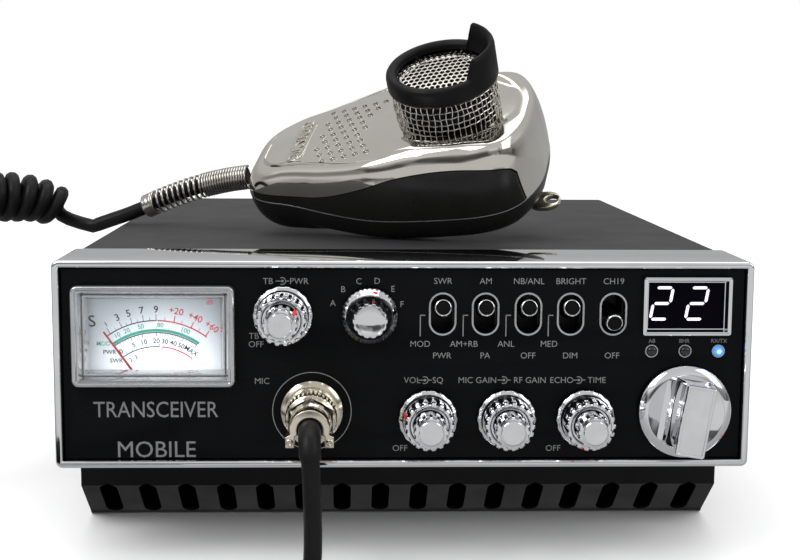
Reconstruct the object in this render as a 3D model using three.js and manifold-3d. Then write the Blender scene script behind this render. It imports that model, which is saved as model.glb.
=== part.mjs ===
// Mobile transceiver with a hand microphone lying on its cover. Millimetres, +Z up.
// The origin is the centre of the case's bottom face. The front looks towards -Y.
import * as THREE from "three";
import { mergeVertices } from "three/addons/utils/BufferGeometryUtils.js";
import Module from "manifold-3d";

const wasm = await Module();
wasm.setup();

// ---- driving dimensions ----
const BEZEL_W = 200, BEZEL_H = 60, BEZEL_DEPTH = 31, BEZEL_WALL = 2.2, BEZEL_R = 2;
const BASE_H = 28.5; // the base hangs this far below the bezel
const CASE_L = 240, CASE_W = 199, CASE_TOP = 88.0, COVER_T = 1.2;
const FRONT_Y = -CASE_L / 2, REAR_Y = CASE_L / 2;
const PANEL_RECESS = 1.8, PANEL_T = 3, GAP = 0.3;
const PANEL_Y = FRONT_Y + PANEL_RECESS;
const BACK = -PANEL_T - GAP; // where the parts behind the panel begin, measured out from its face
const COVER_Y = FRONT_Y + BEZEL_DEPTH + GAP, COVER_SPLIT = 58;
const BASE_W = 198.4, BASE_Y = -86.8, BASE_T = 1.6;
const SLOPE_TOP = [BASE_Y, 14.1], SLOPE_END = [-72, 1.8];
const SLOTS = 16, SLOT_PITCH = 12.15, SLOT_W = 5.5, SLOT_L = 20;

// front panel, x to the right and y up from the bezel's lower edge
const METER = { x: -71.65, y: 38.3, w: 46.3, h: 29.2, pivotY: 17.7, needle: 25.8, rest: 35.5 };
const DISPLAY = { x: 80.8, y: 47.2, w: 25.6, h: 17.0 };
const LEDS = [71.2, 80.9, 90.6], LED_Y = 33.9;
const TOGGLES = [10.7, 23.0, 35.3, 47.5, 59.8], TOGGLE_Y = 44.65, TOGGLE_TILT = 13;
const DUAL_KNOBS = { power: [-34.9, 44.3], volume: [6.7, 14.2], mic_gain: [29.4, 14.2], echo: [52.3, 14.2] };
const BAND = [-10.2, 44.3], CHANNEL = [81.1, 16.4], MIC_JACK = [-26.7, 16.4];
const SHAFT_R = 2.75, BORE_R = 3.1;

// hand microphone: l runs from the cord end to the head, w across, n out of its face
const MIC = {
  origin: [-48.79, -18.24, 107.15], turn: [0.50873291, -0.1309565, -0.27896462],
  length: 103.2, back: 13.45, wall: 2.2, headX: 72.8, meshR: 17.2, meshZ: 19.4, meshTop: 36.2,
};
const CORD_R = 2.5, CURL_R = 9;

// ---- materials ----
const mat = (color, roughness, metalness) => new THREE.MeshStandardMaterial({ color, roughness, metalness });
const CHROME = mat(0xd8dadc, 0.12, 1), NICKEL = mat(0xc4c0b8, 0.25, 1), BLACK = mat(0x101012, 0.35, 0);
const PANEL = mat(0x0a0b0d, 0.15, 0), COVER = mat(0x55565a, 0.5, 0.3), STEEL = mat(0x9a9da0, 0.4, 1);
const DIAL = mat(0xe8ecf0, 0.6, 0), CLEAR = mat(0xe0e4e8, 0.05, 0), RED = mat(0xd02030, 0.5, 0);
const BLUE = mat(0x3070ff, 0.2, 0), BOARD = mat(0x1d5a34, 0.6, 0), RUBBER = mat(0x161617, 0.7, 0);
const ALUMINIUM = mat(0x2a2b2d, 0.5, 0.8), PAPER = mat(0x222222, 0.9, 0);

// ---- helpers ----
// One clean closed body: shared vertices merged, flat triangles dropped, faces pointing out.
function closed(geometry) {
  let g = geometry.index ? geometry.toNonIndexed() : geometry.clone();
  g = new THREE.BufferGeometry().setAttribute("position", g.getAttribute("position"));
  g = mergeVertices(g, 1e-4);
  const p = g.attributes.position.array, src = g.index.array, keep = [];
  let volume = 0;
  for (let i = 0; i < src.length; i += 3) {
    const [a, b, c] = [src[i], src[i + 1], src[i + 2]];
    if (a === b || b === c || a === c) continue;
    keep.push(a, b, c);
    const [ax, ay, az, bx, by, bz, cx, cy, cz] = [a, b, c].flatMap((k) => [p[3 * k], p[3 * k + 1], p[3 * k + 2]]);
    volume += ax * (by * cz - bz * cy) + ay * (bz * cx - bx * cz) + az * (bx * cy - by * cx);
  }
  if (volume < 0) for (let i = 0; i < keep.length; i += 3) [keep[i + 1], keep[i + 2]] = [keep[i + 2], keep[i + 1]];
  g.setIndex(keep);
  return g;
}
function toSolid(geometry) {
  const g = closed(geometry);
  return new wasm.Manifold(new wasm.Mesh({
    numProp: 3, vertProperties: new Float32Array(g.attributes.position.array), triVerts: new Uint32Array(g.index.array),
  }));
}
function fromSolid(solid) {
  const m = solid.getMesh(), g = new THREE.BufferGeometry();
  g.setAttribute("position", new THREE.Float32BufferAttribute(m.vertProperties, 3));
  g.setIndex(Array.from(m.triVerts));
  return g;
}
const union = (...parts) => fromSolid(parts.map(toSolid).reduce((a, b) => a.add(b)));
const cut = (body, ...tools) => fromSolid(tools.map(toSolid).reduce((a, b) => a.subtract(b), toSolid(body)));

const part = new THREE.Group();
const panel = new THREE.Group(); // x right, y up, z out of the panel's face
panel.position.set(0, PANEL_Y, BASE_H);
panel.rotation.x = Math.PI / 2;
const mic = new THREE.Group();
mic.position.set(...MIC.origin);
const turn = new THREE.Vector3(...MIC.turn);
mic.quaternion.setFromAxisAngle(turn.clone().normalize(), turn.length());
part.add(panel, mic);

function add(group, name, geometry, material, x = 0, y = 0, z = 0) {
  const mesh = new THREE.Mesh(closed(geometry), material);
  mesh.name = name;
  mesh.position.set(x, y, z);
  group.add(mesh);
  return mesh;
}
const box = (x0, x1, y0, y1, z0, z1) =>
  new THREE.BoxGeometry(x1 - x0, y1 - y0, z1 - z0).translate((x0 + x1) / 2, (y0 + y1) / 2, (z0 + z1) / 2);
// Points of an arc, in steps counter-clockwise.
const arc = (cx, cy, r, from, to, steps) => Array.from({ length: steps + 1 }, (_, i) => {
  const t = from + ((to - from) * i) / steps;
  return new THREE.Vector2(cx + r * Math.cos(t), cy + r * Math.sin(t));
});
function outline(w, h, r, cx = 0, cy = 0, steps = 3) {
  const [x, y, q] = [w / 2 - r, h / 2 - r, Math.PI / 2];
  return [[x, y, 0], [-x, y, 1], [-x, -y, 2], [x, -y, 3]]
    .flatMap(([dx, dy, k]) => arc(cx + dx, cy + dy, r, k * q, (k + 1) * q, steps));
}
const rounded = (w, h, r, cx, cy, steps) => new THREE.Shape(outline(w, h, r, cx, cy, steps));
const hole = (w, h, r, cx, cy, steps) => new THREE.Path(outline(w, h, r, cx, cy, steps));
const round = (r, cx = 0, cy = 0, steps = 16) => new THREE.Path(arc(cx, cy, r, 0, Math.PI * 2, steps).slice(1));
const polygon = (points) => new THREE.Shape(points.map(([x, y]) => new THREE.Vector2(x, y)));
const slab = (shape, z0, z1, ...holes) => {
  shape.holes.push(...holes);
  return new THREE.ExtrudeGeometry(shape, { depth: z1 - z0, bevelEnabled: false }).translate(0, 0, z0);
};
// A body turned about the panel's outward axis, from pairs of radius and distance out.
const turned = (profile, segments = 16) =>
  new THREE.LatheGeometry(profile.map(([r, t]) => new THREE.Vector2(r, t)), segments).rotateX(Math.PI / 2);
// A profile drawn across the case (x, z) and drawn out along y.
const alongY = (shape, y0, y1) => slab(shape, -y1, -y0).rotateX(Math.PI / 2);
// A profile drawn along the case (y, z) and drawn out across x.
const acrossX = (shape, width) =>
  new THREE.ExtrudeGeometry(shape, { depth: width, bevelEnabled: false })
    .applyMatrix4(new THREE.Matrix4().makeBasis(
      new THREE.Vector3(0, 1, 0), new THREE.Vector3(0, 0, 1), new THREE.Vector3(1, 0, 0)))
    .translate(-width / 2, 0, 0);
function tube(points, radius, sides, steps) {
  const circle = new THREE.Shape();
  circle.absarc(0, 0, radius, 0, Math.PI * 2);
  return new THREE.ExtrudeGeometry(circle, {
    steps, curveSegments: sides / 2, bevelEnabled: false,
    extrudePath: new THREE.CatmullRomCurve3(points.map((p) => new THREE.Vector3(...p))),
  });
}

// ---- bezel and front panel ----
const mid = BEZEL_H / 2, innerW = BEZEL_W - 2 * BEZEL_WALL, innerH = BEZEL_H - 2 * BEZEL_WALL;
add(panel, "front_bezel",
  slab(rounded(BEZEL_W, BEZEL_H, BEZEL_R, 0, mid), PANEL_RECESS - BEZEL_DEPTH, PANEL_RECESS,
    hole(innerW, innerH, BEZEL_R - 1.5, 0, mid)), CHROME);
const shaftHoles = [...Object.values(DUAL_KNOBS), BAND, CHANNEL].map(([x, y]) => round(4.8, x, y));
add(panel, "front_panel",
  slab(rounded(innerW - 0.6, innerH - 0.6, BEZEL_R - 1.8, 0, mid), -PANEL_T, 0,
    hole(METER.w - 4, METER.h - 4, 0.8, METER.x, METER.y),
    hole(DISPLAY.w - 3.6, DISPLAY.h - 3.4, 0.6, DISPLAY.x, DISPLAY.y),
    ...LEDS.map((x) => round(1.75, x, LED_Y, 8)),
    ...TOGGLES.map((x) => hole(6.8, 11.7, 3.39, x, TOGGLE_Y)),
    ...shaftHoles, round(7.8, ...MIC_JACK),
  ), PANEL);

// ---- signal meter ----
add(panel, "meter_bezel", union(
  slab(rounded(METER.w, METER.h, 2), GAP, 2.7, hole(METER.w - 5.6, METER.h - 5.6, 0.6, 0, 0, 1)),
  slab(rounded(METER.w - 4.6, METER.h - 4.6, 0.7, 0, 0, 1), -2.9, GAP + 0.1,
    hole(METER.w - 5.6, METER.h - 5.6, 0.6, 0, 0, 1)),
), CLEAR, METER.x, METER.y);
add(panel, "meter_window", slab(rounded(METER.w - 6.3, METER.h - 6.3, 0.4), 1.0, 1.9), CLEAR, METER.x, METER.y);
const caseLow = 12 - METER.y, caseHigh = 15.3, pivot = METER.pivotY - METER.y;
add(panel, "meter_case", union(
  cut(box(-22.9, 22.9, caseLow, caseHigh, -18, BACK), box(-21.4, 21.4, caseLow + 1.5, caseHigh - 1.5, -16.5, 0)),
  new THREE.CylinderGeometry(1, 1, 10, 10).rotateX(Math.PI / 2).translate(0, pivot, -11.7),
), PAPER, METER.x, METER.y);
add(panel, "meter_dial", box(-21, 21, 21.8 - METER.y, 13.4, -6.5, -5.5), DIAL, METER.x, METER.y);
const blade = polygon([[-0.5, -4], [0.5, -4], [0.2, METER.needle], [-0.2, METER.needle]]);
const needle = union(slab(blade, -4.7, -4.2),
  new THREE.CylinderGeometry(2, 2, 2.4, 14).rotateX(Math.PI / 2).translate(0, 0, -5.2));
add(panel, "meter_needle", needle, RED, METER.x, METER.pivotY).rotation.z = THREE.MathUtils.degToRad(METER.rest);

// ---- channel display and lamps ----
add(panel, "display_bezel",
  slab(rounded(DISPLAY.w, DISPLAY.h, 0.8), GAP, 2.5, hole(DISPLAY.w - 6, DISPLAY.h - 5.6, 0.4, 0, 0, 1)),
  CHROME, DISPLAY.x, DISPLAY.y);
add(panel, "display_module", union(
  box(-(DISPLAY.w - 4.4) / 2, (DISPLAY.w - 4.4) / 2, -(DISPLAY.h - 4.2) / 2, (DISPLAY.h - 4.2) / 2, -8, -0.4),
  box(-DISPLAY.w / 2, DISPLAY.w / 2, -DISPLAY.h / 2, DISPLAY.h / 2 - 1, -11, BACK),
), BLACK, DISPLAY.x, DISPLAY.y);
const ledProfile = [[0, -8], [2.3, -8], [2.3, BACK], [1.45, BACK], [1.45, 0.3], [1.0, 0.9], [0, 1.15]];
LEDS.forEach((x, i) => add(panel, `led_${i + 1}`, turned(ledProfile, 12), i === 2 ? BLUE : PAPER, x, LED_Y));

// ---- toggle switches ----
const bankX = (TOGGLES[0] + TOGGLES[4]) / 2, bankW = TOGGLES[4] - TOGGLES[0] + 12;
add(panel, "switch_bank", cut(
  box(-bankW / 2, bankW / 2, -8.2, 8.2, -14, BACK),
  ...TOGGLES.map((x) => box(x - bankX - 3, x - bankX + 3, -6.2, 6.2, -12, 0)),
), PAPER, bankX, TOGGLE_Y);
const PIVOT_T = -7;
const leverProfile = [[0, -2.2], [1.6, -1.6], [2.2, 0], [1.6, 1.6], [1.5, 5.4], [2.5, 7.2], [2.5, 9.4], [2, 10], [0, 10]];
TOGGLES.forEach((x, i) => {
  const lever = add(panel, `toggle_${i + 1}`, turned(leverProfile, 14), CHROME, x, TOGGLE_Y, PIVOT_T);
  lever.rotation.x = THREE.MathUtils.degToRad(i < 4 ? -TOGGLE_TILT : TOGGLE_TILT);
});

// ---- controls ----
const potProfile = [[0, -14], [8, -14], [8, BACK], [4.4, BACK], [4.4, 0.8], [BORE_R, 0.8], [BORE_R, -11], [0, -11]];
const outerKnob = [[BORE_R, 1.1], [8, 1.1], [8, 2.4], [7.1, 3], [6.6, 10.8], [6.1, 11.4], [BORE_R, 11.4], [BORE_R, 1.1]];
const innerKnob = [
  [0, -10.7], [SHAFT_R, -10.7], [SHAFT_R, 11.7], [5.2, 11.7], [4.7, 18.4], [4.0, 19], [0, 19],
];
for (const [name, [x, y]] of Object.entries(DUAL_KNOBS)) {
  add(panel, `${name}_pot`, turned(potProfile), STEEL, x, y);
  add(panel, `${name}_outer_knob`, turned(outerKnob, 18), CHROME, x, y);
  add(panel, `${name}_inner_knob`, turned(innerKnob), CHROME, x, y);
}
add(panel, "band_switch", turned(potProfile), STEEL, ...BAND);
add(panel, "band_knob", turned([
  [0, -10.7], [SHAFT_R, -10.7], [SHAFT_R, 1.1], [8, 1.1], [8, 2.2], [6.6, 3.2], [4.9, 10.6], [4.4, 11], [0, 11],
], 18), CHROME, ...BAND);
add(panel, "channel_switch", turned([
  [0, -20], [12, -20], [12, BACK], [4.4, BACK], [4.4, 0.8], [BORE_R, 0.8], [BORE_R, -15], [0, -15],
], 18), STEEL, ...CHANNEL);
const GRIP_LEAN = THREE.MathUtils.degToRad(-9);
const grip = union(
  turned([[0, -14.7], [SHAFT_R, -14.7], [SHAFT_R, 1.1], [13, 1.1], [13, 2.2], [11.6, 3.6], [0, 3.6]], 22),
  slab(rounded(8.2, 20, 1), 3.4, 14.6), slab(rounded(7.3, 19.4, 0.8), 14.5, 15.5),
);
add(panel, "channel_knob", grip, CHROME, ...CHANNEL).rotation.z = GRIP_LEAN;

// ---- microphone socket and plug ----
add(panel, "mic_socket", turned([
  [0, -14], [7.2, -14], [7.2, GAP], [8.9, GAP], [8.9, 2], [6.1, 2], [6.1, 6.4], [5.05, 6.4], [5.05, -3.6], [0, -3.6],
], 18), NICKEL, ...MIC_JACK);
add(panel, "plug_coupling_ring", turned([
  [6.5, 2.4], [7.3, 2.4], [7.3, 11.4], [6.9, 12], [5.8, 12], [5.8, 7], [6.5, 7], [6.5, 2.4],
], 18), NICKEL, ...MIC_JACK);
add(panel, "plug_body", turned([
  [0, -3.2], [4.7, -3.2], [4.7, 6.7], [5.4, 6.7], [5.4, 12.3], [6.6, 12.3], [6.6, 16.5], [5, 18.2], [0, 18.2],
]), NICKEL, ...MIC_JACK);
add(panel, "plug_clamp", slab(
  polygon([[-6.6, -4.8], [6.6, -4.8], [6.6, -1.4], [5.2, 0.6], [4.4, 3.2], [2.6, 4.8], [0, 5.3], [-2.6, 4.8],
    [-4.4, 3.2], [-5.2, 0.6], [-6.6, -1.4]]), 18.5, 24.5, round(2.85, 0, 0, 12)), NICKEL, ...MIC_JACK);

// ---- covers and chassis ----
const half = CASE_W / 2;
add(part, "top_cover", alongY(polygon([
  [-half, COVER_SPLIT + GAP], [-half + COVER_T, COVER_SPLIT + GAP], [-half + COVER_T, CASE_TOP - 3.4],
  [-half + 3.4, CASE_TOP - COVER_T], [half - 3.4, CASE_TOP - COVER_T], [half - COVER_T, CASE_TOP - 3.4],
  [half - COVER_T, COVER_SPLIT + GAP], [half, COVER_SPLIT + GAP], [half, CASE_TOP - 2.6], [half - 0.8, CASE_TOP - 0.8],
  [half - 2.6, CASE_TOP], [-half + 2.6, CASE_TOP], [-half + 0.8, CASE_TOP - 0.8], [-half, CASE_TOP - 2.6],
]), COVER_Y, REAR_Y), COVER);
const baseOuter = polygon([
  [REAR_Y, 0], [-69.5, 0], [-71, 0.6], SLOPE_END, SLOPE_TOP, [BASE_Y, BASE_H - GAP], [COVER_Y, BASE_H + GAP],
  [COVER_Y, COVER_SPLIT], [REAR_Y, COVER_SPLIT],
]);
const baseInner = polygon([
  [REAR_Y + 5, BASE_T], [-70.4, BASE_T], [BASE_Y + BASE_T, SLOPE_TOP[1] + 0.8], [BASE_Y + BASE_T, COVER_SPLIT + 5],
  [REAR_Y + 5, COVER_SPLIT + 5],
]);
const slopeAngle = Math.atan2(SLOPE_TOP[1] - SLOPE_END[1], SLOPE_END[0] - SLOPE_TOP[0]);
const slot = slab(rounded(SLOT_W, SLOT_L, SLOT_W / 2 - 0.01), -5, 5).rotateX(-slopeAngle)
  .translate(0, (SLOPE_TOP[0] + SLOPE_END[0]) / 2, (SLOPE_TOP[1] + SLOPE_END[1]) / 2);
const SPEAKER = { x: 0, y: 42, r: 33 };
const tools = [acrossX(baseInner, BASE_W - 2 * BASE_T), box(-97.6, 97.6, -95, -84, BASE_H + 1.6, COVER_SPLIT + 5)];
for (let i = 0; i < SLOTS; i++) tools.push(slot.clone().translate((i - (SLOTS - 1) / 2) * SLOT_PITCH, 0, 0));
for (let i = -3; i <= 3; i++) {
  const run = Math.sqrt(27 * 27 - (i * 7.5) ** 2);
  tools.push(box(SPEAKER.x - run, SPEAKER.x + run, SPEAKER.y + i * 7.5 - 1.5, SPEAKER.y + i * 7.5 + 1.5, -2, 3));
}
add(part, "bottom_cover", cut(acrossX(baseOuter, BASE_W), ...tools), BLACK);
const tray = 96, trayZ = 31.2;
add(part, "chassis_frame", cut(
  alongY(polygon([
    [-tray, trayZ], [tray, trayZ], [tray, 55], [tray - COVER_T, 55], [tray - COVER_T, trayZ + COVER_T],
    [-tray + COVER_T, trayZ + COVER_T], [-tray + COVER_T, 55], [-tray, 55],
  ]), -114.5, 104), box(-60, 60, -60, 80, 25, 33)), STEEL);
const boardZ = 36, standoff = (x, y) => new THREE.CylinderGeometry(2.5, 2.5, 4, 8).rotateX(Math.PI / 2)
  .translate(x, y, boardZ - 1.5);
add(part, "main_board", union(
  box(-88, 88, -70, 90, boardZ, boardZ + 1.6), standoff(-84, -66), standoff(84, -66), standoff(-84, 86),
  standoff(84, 86), box(-80, -50, 50, 85, boardZ + 1, 62), box(-30, -12, -50, -38, boardZ + 1, 50),
  box(0, 22, -20, 4, boardZ + 1, 46), box(40, 52, -40, -28, boardZ + 1, 49), box(60, 72, -40, -28, boardZ + 1, 49),
  box(30, 70, 40, 70, boardZ + 1, 56),
), BOARD);
add(part, "speaker", new THREE.LatheGeometry([
  [0, 23], [14, 23], [14, 14], [22, 14], [31, 6], [SPEAKER.r, 6], [SPEAKER.r, 2.2], [29, 2.2], [10, 11], [0, 9],
].map(([r, z]) => new THREE.Vector2(r, z)), 28).rotateX(Math.PI / 2).translate(SPEAKER.x, SPEAKER.y, 0), PAPER);

// ---- rear panel, heat sink and sockets ----
const REAR_PANEL_Y = 104.5, ANTENNA = [70, 66], POWER = [36, 66], JACKS = { speaker_jack: [62, 44] };
const rear = slab(rounded(192, 84, 1, 0, 44.6, 1), 0, 1.8,
  round(8.6, ...ANTENNA), hole(17, 11, 0.1, ...POWER, 1), ...Object.values(JACKS).map(([x, z]) => round(4.6, x, z)));
add(part, "rear_panel", rear.rotateX(Math.PI / 2).translate(0, REAR_PANEL_Y + 1.8, 0), STEEL);
const fins = [[-93, 0], [9, 0]], FINS = 11;
for (let i = FINS - 1; i >= 0; i--) {
  const x = -92 + i * 10;
  fins.push([x + 0.9, 3], [x + 0.7, 12.6], [x - 0.7, 12.6], [x - 0.9, 3]);
}
add(part, "heat_sink", slab(polygon(fins), 0, 54).translate(0, REAR_PANEL_Y + 1.8 + GAP, 30), ALUMINIUM);
const behind = (profile, segments) => turned(profile, segments).rotateX(Math.PI);
const atRear = (geometry, [x, z]) => geometry.rotateX(Math.PI / 2).rotateZ(0).translate(x, REAR_PANEL_Y + 1.8, z);
add(part, "antenna_socket", atRear(behind([
  [0, -8], [4, -8], [4, -2.1], [8.2, -2.1], [8.2, 0.3], [12, 0.3], [12, 2.3], [7.6, 2.3], [7.6, 12], [5.8, 12],
  [5.8, 4], [1.9, 4], [1.9, 7.5], [0, 7.5],
], 18), ANTENNA), NICKEL);
add(part, "power_socket", cut(
  box(POWER[0] - 8.2, POWER[0] + 8.2, 98, 116, POWER[1] - 5.2, POWER[1] + 5.2),
  box(POWER[0] - 7, POWER[0] + 7, 106, 117, POWER[1] - 4, POWER[1] + 4)), BLACK);
for (const [name, place] of Object.entries(JACKS))
  add(part, name, atRear(behind([
    [0, -12], [4.2, -12], [4.2, 0.3], [5.5, 0.3], [5.5, 2.5], [1.9, 2.5], [1.9, -9], [0, -9],
  ], 16), place), NICKEL);

// ---- hand microphone ----
// Half width of the body along its length, and the height of its shoulder above the seam.
const WIDTHS = [[0, 8.7], [2.6, 14.5], [8.3, 18.4], [18.6, 20.6], [32, 26.2], [46.5, 31], [58, 32.3], [74.3, 32],
  [87.7, 30.6], [97, 25.6], [101.7, 15.5], [103.2, 8]];
const SHOULDERS = [[0, 8], [5, 9.2], [12, 10.9], [20, 12.9], [32, 15.1], [47, 18.4], [58, 21.4], [66, 23], [82, 23],
  [98, 22.4], [103.2, 21]];
function along(table, x) {
  const i = Math.max(1, table.findIndex(([a]) => a >= x));
  const k = table.at(-1)[0] <= x ? table.length - 1 : i, [a, u] = table[k - 1], [b, v] = table[k];
  return u + (v - u) * THREE.MathUtils.clamp((x - a) / (b - a), 0, 1);
}
const rim = [...WIDTHS.map(([x, w]) => [x, -w]), ...WIDTHS.map(([x, w]) => [x, w]).reverse()];
const centre = MIC.length / 2, rimHalf = 32.3;
const inset = ([x, w], d) => [centre + (x - centre) * (1 - d / centre), w * (1 - d / rimHalf)];
const bowl = (x, w) => 4 * (1 - THREE.MathUtils.smoothstep(Math.hypot(x - MIC.headX, w), 19, 25));
const face = (x, w) => along(SHOULDERS, x) + 1.6 * (1 - (w / 26) ** 2) * (x < 50 ? 1 : 0.4) - bowl(x, w);
// Rings of points at growing insets, joined and capped at both ends.
function loft(rings) {
  const n = rings[0].length, position = rings.flat(2), index = [];
  for (let k = 0; k + 1 < rings.length; k++)
    for (let i = 0; i < n; i++) {
      const j = (i + 1) % n, [a, b, c, d] = [k * n + i, k * n + j, (k + 1) * n + j, (k + 1) * n + i];
      index.push(a, b, c, a, c, d);
    }
  for (const [k, flip] of [[0, true], [rings.length - 1, false]]) {
    const ring = rings[k], tip = position.length / 3;
    position.push(...[0, 1, 2].map((q) => ring.reduce((s, p) => s + p[q], 0) / n));
    for (let i = 0; i < n; i++) {
      const [a, b] = [k * n + i, k * n + ((i + 1) % n)];
      index.push(...(flip ? [b, a, tip] : [a, b, tip]));
    }
  }
  return new THREE.BufferGeometry().setAttribute("position", new THREE.Float32BufferAttribute(position, 3)).setIndex(index);
}
const ring = (d, height) => rim.map((p) => {
  const [x, w] = inset(p, d);
  return [x, w, height(x, w, p)];
});
const SEAM = 0.15;
const frontOuter = [
  ring(0, () => SEAM), ring(0.3, (x, w, p) => 0.5 * along(SHOULDERS, p[0])),
  ring(1.6, (x, w, p) => 0.8 * along(SHOULDERS, p[0])), ring(4, (x, w, p) => 0.95 * along(SHOULDERS, p[0])),
  ...[7, 10, 13, 17, 22, 28].map((d) => ring(d, face)),
];
const frontInner = (wall) => [
  ring(wall, () => SEAM), ring(wall + 0.6, (x, w, p) => 0.75 * along(SHOULDERS, p[0]) - wall * 0.3),
  ring(wall + 4, (x, w) => face(x, w) - wall - 0.6), ...[14, 20, 28].map((d) => ring(d, (x, w) => face(x, w) - wall)),
];
const frontDome = loft(frontOuter), frontShell = loft([...frontInner(MIC.wall).reverse(), ...frontOuter]);
// The side panel that works as the push-to-talk bar, drawn on the body's side (x, height).
const PTT_EDGE = [[4, -1], [4, 3.6], [9, 4.2], [18, 4.9], [32, 8.8], [46.6, 14], [58.8, 16.8], [73.6, 17.4], [87.6, 16.2],
  [95.6, 14.6], [97.6, 11.5], [99.4, -1]];
const side = (points, w0, w1) => new THREE.ExtrudeGeometry(polygon(points), { depth: w1 - w0, bevelEnabled: false })
  .rotateX(Math.PI / 2).translate(0, w1, 0);
const shrink = (points, d) => {
  const [cx, cz] = [56, 6];
  return points.map(([x, z]) => [x + Math.sign(cx - x) * d, z > cz ? z - d : z]);
};
const NEAR = [-40, -9];
add(mic, "mic_front_shell", cut(frontShell, side(PTT_EDGE, ...NEAR)), CHROME);
const barSkin = toSolid(loft([...frontInner(2.6).reverse(), ...frontOuter]));
const barRegion = toSolid(side(shrink(PTT_EDGE, 0.4), -40, -12));
const bars = barSkin.intersect(barRegion).decompose().sort((a, b) => b.volume() - a.volume());
add(mic, "mic_ptt_bar", fromSolid(bars[0]), BLACK);
const full = (d) => Math.sqrt(1 - (1 - Math.min(d, 7) / 7) ** 2); // share of the depth at the cord end, where it is fuller
const backRing = (d, z, depth = MIC.back) => ring(d, (x, w) => {
  const end = (1 - THREE.MathUtils.smoothstep(x, 22, 48)) * THREE.MathUtils.smoothstep(w + 21, 0, 6);
  return -(z + Math.max(0, full(d) * depth - z) * end * 0.8);
});
const BELLY = [[0.9, 0.4], [2.4, 0.57], [5.2, 0.74], [9, 0.86], [15, 0.95], [22, 1]]; // inset, share of the depth
const innerBelly = BELLY.slice(1).map(([d, k]) => ring(d + MIC.wall, () => -(MIC.back - MIC.wall) * k));
add(mic, "mic_back_shell", loft([
  ...innerBelly.reverse(), ring(MIC.wall + 0.6, () => -SEAM), ring(0, () => -SEAM),
  ...BELLY.map(([d, k]) => backRing(d, MIC.back * k)),
]), BLACK);
add(mic, "mic_mesh_head", turned([
  [0, MIC.meshTop], [14.4, MIC.meshTop], [16.4, MIC.meshTop - 3], [MIC.meshR, 27], [MIC.meshR - 0.6, MIC.meshZ + 1.6],
  [MIC.meshR - 1.8, MIC.meshZ + 1.6], [MIC.meshR - 1.4, 27], [15.2, MIC.meshTop - 3.6], [13.9, MIC.meshTop - 1.1],
  [0, MIC.meshTop - 1.1],
], 22), STEEL, MIC.headX);
add(mic, "mic_capsule", turned([[0, 23], [11, 23], [11, 33], [9, 34], [0, 34]], 18), BLACK, MIC.headX);
const lipAngle = [-46, 66];
const lipOuter = 18.2, [lipFrom, lipTo] = lipAngle.map(THREE.MathUtils.degToRad);
const lipShape = new THREE.Shape([
  ...arc(0, 0, lipOuter, lipFrom, lipTo, 9), ...arc(0, 0, lipOuter - 2.2, lipTo, lipFrom, 9),
]);
add(mic, "mic_lip_ring", union(
  turned([[17.1, 32], [17.9, 32], [lipOuter, 33], [lipOuter, 38], [17.4, 39.2], [14.7, 37.9], [14.7, 36.5],
    [16.9, 36.5], [17.1, 32]], 18),
  slab(lipShape, 38.2, 46.5)), RUBBER, MIC.headX);
add(mic, "mic_hang_button", turned([
  [0, -MIC.back - 7.3], [7.2, -MIC.back - 7.3], [7.5, -MIC.back - 6.8], [7.5, -MIC.back - 5.3], [4, -MIC.back - 4.6],
  [4, -MIC.back - GAP], [0, -MIC.back - GAP],
], 18), NICKEL, 52);
add(mic, "mic_hang_ring", slab(rounded(10.5, 9.6, 4.6), -0.9, 0.9, round(2.3, 2.4, 0, 12)), CHROME, 101.4, -3.9, -12.4);
// The coil spring that guards the cord where it enters, as one bent rod.
const SPRING = [[-51.6, -17.5, 106.0], [-60, -15.2, 104.6], [-69.2, -12.4, 102.2], [-79.5, -9.2, 98.6], [-89.3, -6, 94.4]];
add(part, "mic_strain_spring", tube(SPRING, 4.5, 10, 12), STEEL);

// ---- cord: a straight tail at each end and a curly run between them ----
const PLUG_TAIL = [[-26.7, -137.2, 44.9], [-26.7, -143.4, 44.8], [-26.5, -148.6, 41.5], [-26, -150.6, 33],
  [-25.6, -150.6, 18], [-26.4, -152.6, 8], [-31, -160, 3.4], [-40, -174, 2.9], [-50, -188, 3.0], [-63, -197, 3.4]];
const CURL = [[-74, -203, 9.4], [-90, -204.5, 9.4], [-108, -203, 9.4], [-128, -195, 9.4], [-146, -179, 9.4],
  [-161, -158, 9.4], [-174, -136, 9.6], [-186, -112, 13], [-194, -92, 26], [-196, -75, 46], [-190.5, -59, 67],
  [-180, -45, 84], [-166, -32, 94.6], [-152, -21.5, 98.6], [-139.6, -13, 98.3], [-134.5, -10, 98.0], [-129.4, -7, 96.6],
  [-124, -4, 94.2], [-120.5, -2.6, 92.2]];
const MIC_TAIL = [[-89.9, -5.8, 94.1], [-96, -4.2, 91.6], [-102.8, -3, 89.2], [-109, -2.4, 87.0]];
add(part, "cord_plug_tail", tube(PLUG_TAIL, CORD_R, 8, 28), RUBBER);
add(part, "cord_curl", tube(CURL, CURL_R, 10, 60), RUBBER);
add(part, "cord_mic_tail", tube(MIC_TAIL, CORD_R, 10, 8), RUBBER);

export default part;
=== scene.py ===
"""Looks of a mobile transceiver with its hand microphone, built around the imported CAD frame.

Helpers work in millimetres in three local frames: ROW (the case), PANEL (x right, y up, z out of the
front panel's face) and MIC (x along the microphone from the cord end, y across, z out of its face).
"""
import math

import bmesh
import bpy
import numpy as np
from mathutils import Matrix, Quaternion, Vector


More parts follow.
